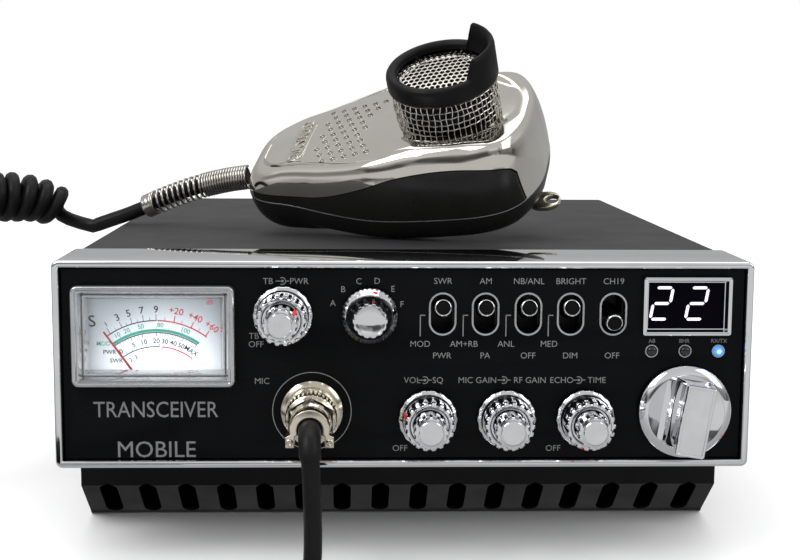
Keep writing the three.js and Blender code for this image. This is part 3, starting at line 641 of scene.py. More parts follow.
def dial_arc(r, a0, a1, width):
    """An arc on the dial; angles in degrees clockwise from straight up about the needle's pivot."""
    return strip(arc(METER_X, PIVOT_Y, r, math.radians(90 - a0), math.radians(90 - a1), 48), width, D0,
                 D0 + 0.05)


def dial_point(r, a):
    return METER_X + r * math.sin(math.radians(a)), PIVOT_Y + r * math.cos(math.radians(a))


def ticks(r, length, angles, width=0.16):
    return [strip([dial_point(r, a), dial_point(r + length, a)], width, D0, D0 + 0.05) for a in angles]


def dial_text(s, r, a, cap, turn=None):
    x, y = dial_point(r, a)
    return text(s, x, y, cap * 1.12, D0, thick=0.05, turn=math.radians(-a if turn is None else turn),
                weight=0.025)


def scale_name(s, x, y):
    return text(s, METER_X + x, y, 1.2, D0, thick=0.05, weight=0.02)


black = [dial_arc(24.1, -35.7, 0.3, 0.3), dial_arc(20.6, -35.7, 34.5, 0.3), dial_arc(16.5, -36.5, 3, 0.28)]
black += ticks(24.1, 1.9, (-33, -24, -16.6, -8.6, 0)) + ticks(24.1, 0.9, (-28.5, -20.3, -12.6, -4.3), 0.12)
black += ticks(20.6, -1.1, (-35.7, -21, -11.5, 0, 7.2, 15.5, 22.5, 34.2))
black += ticks(20.6, -0.6, (-31, -28, -26, -23.5, -18, -15, -6, 3.6, 5.4, 9.2, 11.2, 13.3, 17.3, 19, 20.8, 25,
                            27.5, 30), 0.12)
black += ticks(16.5, 0.9, (-36.5, -30.5, -24, -10, 3), 0.14) + ticks(16.5, 0.6, (-27, -20, -15), 0.1)
black += [dial_text(s, 27.4, a, 1.75) for s, a in (("3", -24), ("5", -16.8), ("7", -8.8), ("9", 0))]
black += [dial_text("1", 27.2, -32, 1.2), dial_text("S", 30.2, -37.5, 2.9, 8)]
black += [dial_text(s, 18.2, a, 1.2) for s, a in (("0", -34), ("5", -21), ("10", -11.5), ("20", 0),
                                                  ("30", 7.6), ("40", 15.6), ("50", 23), ("MAX", 33))]
black += [scale_name("PWR", -13.5, 32.6), scale_name("SWR", -11.6, 30.1)]
black += [dial_text("3", 14.6, -24, 1.1), dial_text("2", 14.6, -30.5, 1.0)]
red = [dial_arc(24.1, 0.9, 37, 0.36), dial_arc(16.5, 6, 38, 0.34)]
red += ticks(24.1, 1.9, (12.2, 24.5, 35.9), 0.28) + ticks(24.1, 1.1, (5.9, 17.3, 30), 0.14)
red += ticks(16.5, -1.0, (38, 6), 0.16)
red += [dial_text(s, 27.5, a, 1.65) for s, a in (("+20", 12.2), ("+40", 24.3), ("+60", 35.6))]
red.append(text("dB", METER_X + 15.4, 47.2, 1.35, D0, thick=0.05))
teal = [dial_arc(21.25, -35.7, 35, 0.8)] + ticks(21.4, 0.9, (-28, -19.5, -11, 0, 9.5, 20, 29), 0.12)
teal += [dial_text(s, 22.8, a, 1.15) for s, a in (("10", -29.5), ("20", -21.8), ("50", -11.2), ("80", 3.0),
                                                  ("100", 21.5))]
teal.append(scale_name("MOD", -15.2, 35.1))
for name, parts, ink in (("dial_black", black, ink_black), ("dial_red", red, ink_red),
                         ("dial_teal", teal, ink_teal)):
    piece(name, merge(*parts), ink, "meter_dial", smooth=False)

# ---- channel display ----
DISPLAY_PROFILE = [(1.8, 0.3), (0, 0.3), (0, 2.1), (0.12, 2.4), (0.35, 2.5), (0.85, 2.5), (1.1, 2.35),
                   (1.75, 0.0), (1.8, -0.4)]
piece("display_surround", moved(loft(frame_rings(25.6, 17, 0.8, DISPLAY_PROFILE, 5), loop=True), *DISPLAY),
      chrome, "bezel_chrome", ["display_bezel"], sharp=40)
piece("display_window", moved(plate([rounded(21.9, 13.3, 0.2)], -0.35, 0.05, 0.05), *DISPLAY), display_black,
      "lamp_dark")
SEGMENTS = {"a": (0, 1, 0), "g": (0, 0, 0), "d": (0, -1, 0), "b": (1, 0.5, 1), "c": (1, -0.5, 1),
            "e": (-1, -0.5, 1), "f": (-1, 0.5, 1)}


DIGIT_X, DIGIT_Y, DIGIT_W, DIGIT_H, BAR, GAP, SLANT = (73.7, 83.9), 47.8, 4.9, 9.1, 0.82, 0.28, 0.17


def digit(x, y, lit):
    """The named bars of one digit."""
    out = []
    for key in lit:
        cx, cy, upright = SEGMENTS[key]
        length = (DIGIT_H / 2 if upright else DIGIT_W) - 2 * GAP
        half, q = length / 2, BAR / 2
        bar = np.array([(-half, 0), (-half + q, q), (half - q, q), (half, 0), (half - q, -q),
                        (-half + q, -q)])
        if upright:
            bar = bar[:, ::-1]
        bar = bar + (cx * DIGIT_W / 2, cy * DIGIT_H / 2)
        bar[:, 0] += bar[:, 1] * SLANT
        out.append(prism(bar + (x, y), 0.05, 0.16))
    return out


lit, dark = ([bar for x in DIGIT_X for bar in digit(x, DIGIT_Y, keys)] for keys in ("abged", "fc"))
piece("display_digits", merge(*lit), digit_glow, "lamp_blue", smooth=False)
piece("display_unlit", merge(*dark), display_black, "lamp_dark", smooth=False)

# ---- lamps ----
LENS = [(0, -8), (2.3, -8), (2.3, -3.3), (1.45, -3.3), (1.45, 0.25), (1.38, 0.55), (1.1, 0.88), (0.6, 1.08),
        (0, 1.15)]
for k, x in enumerate(LED_X):
    shape = moved(revolve(LENS, 32), x, LED_Y)
    piece(f"lamp_{k + 1}", shape, blue_glow if k == 2 else lamp_dark, "lamp_blue" if k == 2 else "lamp_dark",
          [f"led_{k + 1}"], sharp=40)
piece("lamp_core", moved(revolve([(0, 1.1), (0.35, 1.1), (0.62, 1.12), (0.5, 1.25), (0, 1.32)], 20), LED_X[2],
                         LED_Y), blue_core, "lamp_blue")

# ---- toggle switches ----
LEVER = [(0, -2.2), (0.9, -2.05), (1.7, -1.5), (2.2, 0), (1.7, 1.5), (1.5, 3), (1.5, 5.4), (1.8, 6.4),
         (2.3, 7.3), (2.5, 8.0), (2.5, 9.4)]
CAP_RING = [(2.5, 9.4), (2.42, 9.75), (2.25, 9.95), (2.1, 10.0), (2.02, 9.85), (2.0, 9.5), (2.0, 9.3),
            (2.4, 9.2), (2.5, 9.4)]
TIP = [(0, 9.2), (2.05, 9.2), (2.02, 9.5), (1.6, 9.68), (0.9, 9.78), (0, 9.8)]
for k, x in enumerate(TOGGLE_X):
    tilt = -TOGGLE_TILT if k < 4 else TOGGLE_TILT
    to = PANEL @ Matrix.Translation((x, TOGGLE_Y, -7)) @ Matrix.Rotation(tilt, 4, "X")
    lever, ring, tip = revolve(LEVER + [(0, 9.4)], 40), revolve(CAP_RING, 40), revolve(TIP, 40)
    groups = [0] * len(lever[1]) + [1] * len(ring[1]) + [0] * len(tip[1])
    piece(f"lever_{k + 1}", merge(lever, ring, tip), [lever_black, chrome], "control_steel",
          [f"toggle_{k + 1}"], to=to, body=f"toggle_{k + 1}_lever", groups=groups, sharp=40)


# ---- knobs ----
def teeth(count, heights, share=0.5):
    """Raised flutes around a knob; heights gives their height at profile points."""
    def ripple(a, k):
        return heights.get(k, 0) * (0.5 + 0.5 * max(-1.0, min(1.0,
                (math.cos(count * a) + 1 - 2 * share) * 4)))
    return ripple


OUTER = [(3.1, 1.1), (8.1, 1.1), (8.35, 1.35), (8.35, 2.0), (8.05, 2.4), (7.5, 2.7), (7.25, 3.2), (7.05, 4.2),
         (6.8, 8.6), (6.65, 10.2), (6.5, 10.9), (6.25, 11.2), (5.95, 11.25), (5.65, 11.0), (5.3, 10.2),
         (5.3, 9.6), (3.1, 9.6)]
INNER = [(0, -10.7), (2.75, -10.7), (2.75, 9.8), (5.0, 9.8), (5.0, 11.5), (4.65, 16.2), (4.5, 17.8),
         (4.3, 18.1), (4.0, 18.2), (3.7, 18.3), (3.6, 18.1), (3.45, 18.1), (3.4, 18.8), (3.2, 19.0),
         (0, 19.0)]
outer_knob = revolve(OUTER, 216, teeth(18, {3: 0.12, 4: 0.1, 8: 0.06, 9: 0.45, 10: 0.5, 11: 0.4}, 0.45))
inner_knob = revolve(INNER, 182, teeth(14, {5: 0.06, 6: 0.4, 7: 0.3}, 0.45))
KNOB_MARKS = {"power": ("inner", 53), "volume": ("outer", -73), "echo": ("outer", -158)}


def knob_mark(r0, r1, t0, t1, angle, wide=0.9):
    """A red line painted down a knob's side, at an angle clockwise from its top."""
    a = math.radians(90 - angle)
    across = np.array([-math.sin(a), math.cos(a)]) * wide / 2
    out = np.array([math.cos(a), math.sin(a)])
    rings = []
    for r, t in ((r0, t0), ((r0 + r1) / 2 + 0.04, (t0 + t1) / 2), (r1, t1)):
        c = out * r
        rings.append([(*(c + across), t), (*(c - across), t), (*(c - across - out * 0.5), t),
                      (*(c + across - out * 0.5), t)])
    return loft(rings)


for name, (x, y) in DUAL.items():
    side, angle = KNOB_MARKS.get(name, (None, 0))
    for part, shape, mark in (("outer", outer_knob, (7.4, 7.0, 4.0, 10.6)),
                              ("inner", inner_knob, (5.2, 4.85, 11.7, 17.6))):
        groups = [0] * len(shape[1])
        if part == "inner":
            groups = [1 if all(abs(shape[0][i][2] - 19) < 0.02 for i in f) else 0 for f in shape[1]]
        body = f"{name}_{part}"
        piece(f"{name}_{part}_grip", moved(shape, x, y), [chrome, satin_chrome], "knob_chrome",
              [f"{name}_{part}_knob"], body=body, groups=groups, sharp=30)
        if side == part:
            piece(f"{name}_{part}_mark", moved(knob_mark(*mark, angle), x, y), ink_red, "needle_red",
                  body=body)

BAND_PROFILE = [(0, -10.7), (2.75, -10.7), (2.75, 1.1), (7.7, 1.1), (8.0, 1.35), (8.0, 1.9), (7.85, 2.3),
                (6.9, 3.1), (6.1, 4.2), (5.4, 6.0), (4.95, 8.4), (4.75, 10.4), (4.55, 10.9), (4.25, 11.0),
                (4.0, 10.85), (2.9, 10.5), (1.5, 10.3), (0, 10.25)]
skirt_teeth, cone_ribs = teeth(36, {3: 0.06, 4: 0.1, 5: 0.1}), teeth(14, {10: 0.12, 11: 0.3, 12: 0.25}, 0.4)
band = revolve(BAND_PROFILE, 216, lambda a, k: skirt_teeth(a, k) + cone_ribs(a, k))
piece("band_grip", moved(band, *BAND), chrome, "knob_chrome", ["band_knob"], body="band", sharp=30)
piece("band_mark", moved(knob_mark(8.05, 6.9, 1.7, 3.3, 13, 1.3), *BAND), ink_red, "needle_red", body="band")

SKIRT = [(0, -14.7), (2.75, -14.7), (2.75, 1.1), (13.2, 1.1), (13.5, 1.35), (13.5, 1.9), (13.25, 2.3),
         (11.4, 3.4), (11.1, 3.45), (10.8, 3.3), (0, 3.3)]
GRIP_LEAN = math.radians(-9)
grip_rings = []
for w, h, r, t in ((15.0, 19.6, 1.6, 3.2), (12.0, 19.9, 1.3, 3.6), (9.6, 20.0, 1.1, 4.6),
                   (7.6, 19.9, 0.9, 7.0), (7.1, 19.8, 0.8, 10.0), (7.4, 19.9, 0.8, 13.0),
                   (8.1, 20.2, 0.7, 14.6), (8.4, 20.4, 0.7, 15.1), (8.2, 20.2, 0.6, 15.4),
                   (7.9, 19.9, 0.5, 15.5), (7.0, 19.0, 0.3, 15.5), (6.8, 18.8, 0.3, 15.4),
                   (6.7, 18.7, 0.25, 15.0)):
    grip_rings.append(lifted(rounded(w, h, r, 5), t))
grip, skirt = loft(grip_rings), revolve(SKIRT, 96)
groups = [0] * (len(skirt[1]) + len(grip[1]))
groups[-1] = 1
piece("channel_grip", moved(merge(skirt, grip), *CHANNEL, turn=GRIP_LEAN), [chrome, satin_chrome],
      "knob_chrome", ["channel_knob"], body="channel", groups=groups, sharp=30)
piece("channel_mark", moved(knob_mark(13.55, 12.3, 1.7, 2.9, 122, 1.5), *CHANNEL), ink_red, "needle_red",
      body="channel")

# ---- microphone socket and plug ----
SOCKET = [(0, -14), (7.2, -14), (7.2, 0.3), (8.9, 0.3), (8.9, 0.9), (8.6, 1.2), (7.6, 1.95), (7.3, 2.0),
          (6.1, 2.0), (6.1, 6.4), (5.05, 6.4), (5.05, -3.6), (0, -3.6)]
RING = [(6.4, 2.4), (7.1, 2.4), (7.3, 2.7), (7.3, 4.3), (7.0, 4.6), (7.0, 5.1), (7.3, 5.4), (7.3, 11.2),
        (7.05, 11.7), (6.6, 12.0), (5.8, 12.0), (5.8, 7.0), (6.5, 7.0)]
PLUG = [(0, -3.2), (4.7, -3.2), (4.7, 6.7), (5.4, 6.7), (5.4, 12.3), (6.4, 12.3), (6.6, 12.6), (6.6, 13.4),
        (6.2, 13.8), (6.2, 14.4), (6.1, 14.6), (6.1, 16.6), (5.6, 17.4), (4.8, 18.2), (0, 18.2)]
piece("plug_socket", moved(revolve(SOCKET, 64), *JACK), nickel, "nickel", ["mic_socket"], sharp=30)
ring_shape = revolve(RING + RING[:1], 180, teeth(36, {6: -0.25, 7: -0.25}))
piece("coupling", moved(ring_shape, *JACK), nickel, "nickel", ["plug_coupling_ring"], body="coupling",
      sharp=30)
hexagonal = lambda a, k: (1 / math.cos((a + TAU / 12) % (TAU / 6) - TAU / 12) - 1) * 5.6 if k in (9,
        10) else 0
piece("plug_shell", moved(revolve(PLUG, 96, hexagonal), *JACK), nickel, "nickel", ["plug_body"], sharp=30)


def saddle(z0, z1):
    """The cord clamp: a bent strap that arches over the cord, with a square foot on each side."""
    outer = [(-6.6, -4.8), (-6.6, -1.8), (-5.3, -1.2)] + [tuple(p) for p in arc(0, 0.2, 5.5, math.pi + 0.1,
            -0.1, 22)]
    outer += [(5.3, -1.2), (6.6, -1.8), (6.6, -4.8), (4.2, -4.8), (4.0, -1.6)]
    inner = [tuple(p) for p in arc(0, 0.1, 3.3, -0.45, math.pi + 0.45, 22)] + [(-4.0, -1.6), (-4.2, -4.8)]
    return plate([np.array(outer + inner)], z0, z1, 0.3)


def cross_screw(x, y, z, r, h):
    """A domed screw head with a cross cut into it, as a shape."""
    n, rings = 48, []
    for k, (q, t) in enumerate(((1, 0), (1, 0.45), (0.86, 0.78), (0.62, 0.94), (0.34, 1.0), (0.12, 1.0))):
        ring = []
        for i in range(n):
            a = TAU * i / n
            u, v = q * math.cos(a), q * math.sin(a)
            inside = min(abs(u), abs(v)) < 0.14 and max(abs(u), abs(v)) < 0.6
            ring.append((u * r, v * r, (t - (0.55 if inside and k > 1 else 0)) * h))
        rings.append(ring)
    return moved(loft(rings), x, y, z)


clamp = merge(saddle(18.5, 24.3), cross_screw(-5.4, -3.3, 24.3, 1.0, 0.5),
              cross_screw(5.4, -3.3, 24.3, 1.0, 0.5))
piece("plug_saddle", moved(clamp, *JACK), nickel, "nickel", ["plug_clamp"], sharp=35)
sleeve_line = curve_through(PLUG_TAIL, 0.8)
sleeve_line = sleeve_line[:int(17 / 0.8)]
sleeve_radius = np.interp(np.linspace(0, 1, len(sleeve_line)), [0, 0.03, 0.5, 0.93, 1],
                          [2.9, 3.15, 3.1, 3.0, 2.6])
piece("plug_sleeve", sweep(sleeve_line, sleeve_radius, 24), cord_skin, "black_rubber", to=ROW)

# ---- hand microphone ----
WIDTHS = [(0, 8.7), (2.6, 14.5), (8.3, 18.4), (18.6, 20.6), (32, 26.2), (46.5, 31), (58, 32.3), (74.3, 32),
          (87.7, 30.6), (97, 25.6), (101.7, 15.5), (103.2, 8)]
SHOULDERS = [(0, 8), (5, 9.2), (12, 10.9), (20, 12.9), (32, 15.1), (47, 18.4), (58, 21.4), (66, 23), (82, 23),
             (98, 22.4), (103.2, 21)]
PLATEAU = [(0, 8), (5, 8.6), (8, 9.8), (12, 10.7), (20, 13.0), (31, 14.8), (47, 17.9), (56, 19.9), (66, 20.8),
           (103.2, 21)]
MIC_MID, MIC_HALF, HEAD_X, MIC_BACK = 51.6, 32.3, 72.8, 13.45
SIDE_POINTS = 130


def cut_corners(p, times):
    for _ in range(times):
        a, b = p[:-1] * 0.75 + p[1:] * 0.25, p[:-1] * 0.25 + p[1:] * 0.75
        p = np.vstack([p[:1], np.stack([a, b], 1).reshape(-1, 2), p[-1:]])
    return p


half_outline = cut_corners(np.array([(0, 0.0)] + WIDTHS + [(103.2, 0.0)]), 4)
half_outline = resample(half_outline, 0.2)
pick = np.linspace(0, len(half_outline) - 1, SIDE_POINTS).round().astype(int)
half_outline = half_outline[pick]
half_outline[0, 1] = half_outline[-1, 1] = 0.02
RIM = np.vstack([half_outline * (1, -1), half_outline[::-1]])
table_x = np.arange(0, 103.3, 0.5)
shoulder_h, plateau_h = (np.interp(table_x, *zip(*points)) for points in (SHOULDERS, PLATEAU))
for _ in range(40):
    shoulder_h, plateau_h = averaged(shoulder_h), averaged(plateau_h)


def smoothstep(x, a, b):
    t = np.clip((x - a) / (b - a), 0, 1)
    return t * t * (3 - 2 * t)


def shoulder(x):
    return np.interp(x, table_x, shoulder_h)


def face(x, w):
    """The height of the microphone's flat face, which runs on as the floor of the bowl around its head."""
    near_side = smoothstep(-w, 4, 18) * smoothstep(x, 54, 66) * (1 - smoothstep(x, 84, 92))
    return np.interp(x, table_x, plateau_h) + 1.2 * (1 - (w / 26) ** 2) + 0.7 * near_side


def inset(d):
    return np.column_stack([MIC_MID + (RIM[:, 0] - MIC_MID) * (1 - d / MIC_MID),
                            RIM[:, 1] * (1 - d / MIC_HALF)])


def front_ring(d):
    """The front's skin at depth d in from the outline: a round shoulder, then a crease, then the face."""
    q = inset(d)
    x, w = q[:, 0], q[:, 1]
    reach = 7.5 + 2.6 * smoothstep(x, 46, 60) - 5.1 * smoothstep(x, 80, 94)
    side_share = (1 - np.clip(1 - d / reach, 0, 1) ** 2.3) ** 0.5
    bowl = 1 - smoothstep(np.hypot(x - HEAD_X, w) + 3.4 * smoothstep(-w, 3, 17), 22.3, 25.2)
    body_end = 1 - smoothstep(x, 50, 58)
    flat = np.maximum(bowl, smoothstep(d, 6.9, 8.2) * body_end)
    crease = 0.6 * math.exp(-((d - 7.2) / 0.34) ** 2) * body_end
    z = side_share * (shoulder(x) * (1 - flat) + face(x, w) * flat) - crease
    return np.column_stack([q, np.maximum(z, 0.15)])


FINE = [0, 0.04, 0.12, 0.25, 0.45, 0.7, 1.0, 1.4, 1.9, 2.5, 3.1, 3.7, 4.3, 4.9, 5.5, 6.1, 6.5, 6.75, 6.95,
        7.1, 7.25, 7.45, 7.7, 8.0, 8.4]
FINE += list(np.arange(9.0, 32.0, 0.7)) + [32.1]


def front_solid(wall):
    """The front's skin over its own hollow, wall mm thick."""
    inner = []
    for d in [32.1 - wall] + list(np.arange(28, 4, -2.0)) + [3.0, 1.4, 0.5]:
        q = inset(d + wall)
        height = np.interp(d, [0, 0.5, 1.4, 3, 6], [0.1, 0.45, 0.68, 0.85, 1.0])
        z = face(q[:, 0], q[:, 1]) * height - wall
        inner.append(np.column_stack([q, np.maximum(z, 0.4)]))
    inner.append(lifted(inset(wall), 0.15))
    return zipped(inner + [front_ring(d) for d in FINE])


PTT_EDGE = [(4, -1), (4, 2.8), (9, 3.1), (18, 3.5), (32, 5.8), (46.6, 11), (58.8, 15.2), (73.6, 17),
            (87.6, 16.2), (95.6, 14.6), (97.6, 11.5), (99.4, -1)]


def bar_prism(shrink, w0, w1):
    """The bar's outline seen from the side, drawn across the body."""
    p = cut_corners(np.array(PTT_EDGE[1:-1], float), 3)
    p = np.vstack([PTT_EDGE[0], p, PTT_EDGE[-1]])
    p = p + np.column_stack([np.sign(56 - p[:, 0]) * shrink * (np.abs(p[:, 0] - 56) > 35),
                             -shrink * (p[:, 1] > 2)])
    return loft([[(x, w, z) for x, z in p] for w in (w0, w1)])


front = build("mic_front", front_solid(2.0), MIC, mic_plate, sharp=35)
boolean(front, build("cutter", bar_prism(0, -45, -9), MIC, mic_plate), "DIFFERENCE")
bar = build("talk_bar_grip", front_solid(2.3), MIC, mic_black, sharp=35)
boolean(bar, build("cutter", bar_prism(0.35, -45, -14), MIC, mic_black), "INTERSECT")


def keep_largest(o):
    """Drops loose scraps that a cut left behind."""
    bm = bmesh.new()
    bm.from_mesh(o.data)
    groups, left = [], set(bm.verts)
    while left:
        seed = left.pop()
        group, edge = [seed], [seed]
        while edge:
            for e in edge.pop().link_edges:
                for v in e.verts:
                    if v in left:
                        left.discard(v)
                        group.append(v)
                        edge.append(v)
        groups.append(group)
    groups.sort(key=len)
    bmesh.ops.delete(bm, geom=[v for g in groups[:-1] for v in g], context="VERTS")
    bm.to_mesh(o.data)
    bm.free()


for o, body, slot, node in ((front, "microphone", "knob_chrome", "mic_front_shell"),
                            (bar, "talk_bar", "mic_black", "mic_ptt_bar")):
    keep_largest(o)
    smoothed(o.data, 35)
    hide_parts(node)
    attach(o, body)

belly_d = np.array([0, 0.9, 2.4, 5.2, 9, 15, 22, 32.3])
belly_k = np.array([0.0, 0.4, 0.57, 0.74, 0.86, 0.95, 1.0, 1.0])


def back_ring(d, inner=0.0):
    depth = MIC_BACK - 0.15 - inner
    q = inset(d + inner)
    sunk = np.full(len(q), depth * np.interp(math.sqrt(d), np.sqrt(belly_d), belly_k))
    if not inner:
        full = depth * math.sqrt(1 - (1 - min(d, 7) / 7) ** 2)
        sunk += np.maximum(0, full - sunk) * (1 - smoothstep(q[:, 0], 22, 48)) * smoothstep(q[:, 1] + 21, 0,
                6) * 0.8
    return np.column_stack([q, -0.15 - sunk])


back_depths = [0, 0.03, 0.1, 0.2, 0.35, 0.55, 0.8, 1.1, 1.5, 2, 2.6, 3.3, 4.2, 5.2, 6.4, 7.8, 9.4, 11.2, 13.2,
               15.5, 18, 21, 24.5, 28, 32.1]
back = zipped([back_ring(d, 2.0) for d in (30.0, 22, 12, 5, 1, 0)] + [back_ring(d) for d in back_depths])
on_mic("mic_back", back, mic_black, "mic_black", ["mic_back_shell"], sharp=40)
# painted highlight: the seam between the shells is a bead in light steel grey, standing for the thin bright
# line its parting edge catches
seam_line = lifted(inset(0.25), 0)
on_mic("mic_seam_highlight", sweep(seam_line, 0.32, 8, closed=True), steel, "mic_black")


def draped(ring2d, lift):
    """Points of a 2D outline laid on the microphone's face."""
    q = np.asarray(ring2d, float)
    return np.column_stack([q, face(q[:, 0], q[:, 1]) + lift])


# nameplate with a raised rim, and the perforated patch between it and the head
NAME_X, NAME_W = 20.6, -2.4
name_rings = []
for d, lift in ((0, -0.25), (0, 0.15), (0.1, 0.3), (0.3, 0.36), (0.55, 0.3), (0.7, 0.12), (0.9, 0.1)):
    name_rings.append(draped(rounded(6.6 - 2 * d, 25.4 - 2 * d, 3.29 - d, 10, NAME_X, NAME_W), lift))
n = len(name_rings[0])
shape = loft(name_rings, caps=False)
middle = len(shape[0])
spine = [draped([(NAME_X, w)], 0.1)[0] for w in np.linspace(NAME_W + 9.4, NAME_W - 9.4, 9)]
ridge_points = np.vstack([shape[0], spine])
last = (len(name_rings) - 1) * n
ring_xy = name_rings[-1][:, :2]
nearest = [middle + int(np.argmin([math.hypot(p[0] - s[0], p[1] - s[1]) for s in spine])) for p in ring_xy]
faces = list(shape[1])
for i in range(n):
    j = (i + 1) % n
    a, b = nearest[i], nearest[j]
    faces.append((last + i, last + j, a))
    if a != b:
        faces.append((last + j, b, a))
on_mic("mic_nameplate", (ridge_points, faces), mic_plate, "knob_chrome", sharp=40)

word = text("DYNAMIC", 20.4, -2.4, 3.7, 0, turn=math.radians(-90), thick=0.5, weight=0.02)
raised_word = (word[0] + np.column_stack([np.zeros((len(word[0]), 2)), face(word[0][:, 0], word[0][:, 1])]),
               word[1])
on_mic("mic_word", raised_word, mic_plate, "knob_chrome", sharp=40)

dots, dot_rim_and_shade_groups = [], []
for row in range(9):
    w = -18.6 + row * 3.95
    for col in range(6):
        x = 28.6 + col * 3.9 + (1.95 if row % 2 else 0)
        if x > 48.2 or math.hypot(x - HEAD_X, w) < 27.5:
            continue
        edge = np.interp(x, half_outline[:, 0], half_outline[:, 1]) - 7.6
        if abs(w) > edge:
            continue
        rings = []
        for k, lift in ((1.0, -0.1), (0.98, 0.2), (0.86, 0.36), (0.74, 0.34), (0.64, 0.1), (0.6, -0.05),
                        (0.3, -0.08)):
            q = rounded(2.3 * k, 1.5 * k, 0.65 * k, 3) @ np.array([[0.92, -0.39], [0.39, 0.92]]) + (x, w)
            rings.append(draped(q, lift))
        shape = loft(rings)
        n = len(rings[0])
        # painted shade: the inner wall and floor of each dot's shallow pit take the black foam finish,
        # standing for the dark inside of a hole
        dot_rim_and_shade_groups += [0] * (4 * n) + [1] * (2 * n) + [0, 1]
        dots.append(shape)
# the foam finish here lines the dot pits as painted shade
on_mic("mic_perforations", merge(*dots), [mic_plate, foam], "knob_chrome", groups=dot_rim_and_shade_groups, sharp=40)

# ---- woven wire head with its rubber rim ----
wires = []
SIDE_WIRES, RINGS, HEAD_BASE, HEAD_TOP = 54, 8, 19.0, 34.6


def head_radius(z):
    return np.interp(z, [HEAD_BASE, 22, 27, 32, 34.6], [16.3, 16.9, 17.2, 16.9, 15.6])


for i in range(SIDE_WIRES):
    z = np.linspace(HEAD_BASE, HEAD_TOP, 17)
    sway = 0.055 * math.sin(3 * TAU * i / SIDE_WIRES) + 0.02 * np.sin(z * 0.9 + i)
    a = TAU * i / SIDE_WIRES + sway * (z - HEAD_BASE) / 15
    weave = 0.17 * np.cos(np.pi * (z - HEAD_BASE) / 2.05 + np.pi * i)
    r = head_radius(z) + weave
    wires.append(sweep(np.column_stack([r * np.cos(a), r * np.sin(a), z]), 0.2, 5))
for j in range(RINGS):
    a = TAU * np.arange(216) / 216
    z = HEAD_BASE + 1.0 + 2.05 * j + 0.12 * np.sin(3 * a + j)
    r = head_radius(z) - 0.17 * np.cos(SIDE_WIRES / 2 * a + np.pi * j)
    wires.append(sweep(np.column_stack([r * np.cos(a), r * np.sin(a), z]), 0.2, 5, closed=True))
PITCH_X, PITCH_Y, HOLE, MESH_TURN = 1.85, 2.2, 0.74, math.radians(13.6)
hexagon = np.array([(0, 2 / 3), (0.5, 1 / 3), (0.5, -1 / 3), (0, -2 / 3), (-0.5, -1 / 3),
                    (-0.5, 1 / 3)]) * (PITCH_X, PITCH_Y)
cells = []
for row in range(-9, 10):
    for col in range(-10, 11):
        cx, cy = (col + (0.5 if row % 2 else 0)) * PITCH_X, row * PITCH_Y
        if math.hypot(cx, cy) > 15.2:
            continue
        rings = []
        for k, lift in ((1.0, 0.05), (HOLE + 0.12, 0.07), (HOLE, -0.02), (HOLE + 0.03, -0.3), (1.0, -0.3)):
            q = hexagon * k + (cx, cy)
            dome = 35.6 + 0.5 * (1 - (q ** 2).sum(1) / 225)
            rings.append(np.column_stack([q, dome + lift]))
        cells.append(loft(rings, loop=True))
mesh_top = moved(merge(*cells), turn=MESH_TURN)
on_mic("mic_mesh", moved(merge(*wires, mesh_top), HEAD_X), wire_steel, "mesh_steel", ["mic_mesh_head"],
       sharp=50)
dome = [(0, 24.0), (15.0, 24.0), (15.4, 27), (15.2, 31), (14.2, 33.4), (11, 34.6), (6, 35.0), (0, 35.1)]
on_mic("mic_windscreen", moved(revolve(dome, 64), HEAD_X), foam, "black_plastic", ["mic_capsule"])

LIP_FROM, LIP_TO, LIP_EDGE = -47, 66, 7
lip_rings = []
for i in range(180):
    deg = 2 * i
    a = math.radians(deg)
    ang = (deg + 180) % 360 - 180
    up = smoothstep(ang, LIP_FROM, LIP_FROM + LIP_EDGE) * (1 - smoothstep(ang, LIP_TO - LIP_EDGE, LIP_TO))
    top = 39.1 + float(up) * 6.6
    bore = 14.5 + float(up) * 1.6
    mid = (18.2 + bore) / 2
    section = [(17.0, 33.0), (17.5, 32.95), (17.9, 33.2), (18.15, 33.8), (18.2, 34.6), (18.2, top - 1.9),
               (18.0, top - 0.9), (17.6, top - 0.35), (mid + 0.3, top), (mid - 0.4, top - 0.1),
               (bore + 0.4, top - 0.5), (bore + 0.05, top - 1.1), (bore,
            min(top - 1.8, 37.2 + float(up) * 4)), (14.7, 36.7), (15.1, 36.4), (16.7, 36.4), (16.85, 35.0)]
    lip_rings.append([(HEAD_X + r * math.cos(a), r * math.sin(a), z) for r, z in section])
on_mic("mic_lip", loft(lip_rings, loop=True), rubber, "black_rubber", ["mic_lip_ring"], sharp=60)

tab = moved(plate([rounded(10.5, 9.6, 4.6, 14), circle(2.3, 2.4, 0)], -0.9, 0.9, 0.4), 101.4, -3.9, -12.4)
on_mic("mic_hang_tab", tab, nickel, "control_steel", ["mic_hang_ring"], sharp=40)
BUTTON = [(0, -20.75), (6.6, -20.75), (7.2, -20.6), (7.5, -20.2), (7.5, -19.0), (7.2, -18.7), (4.2, -18.2),
          (4.0, -17.9), (4.0, -13.8), (0, -13.8)]
on_mic("mic_button", moved(revolve(BUTTON, 48), 52), nickel, "nickel", ["mic_hang_button"], sharp=35)

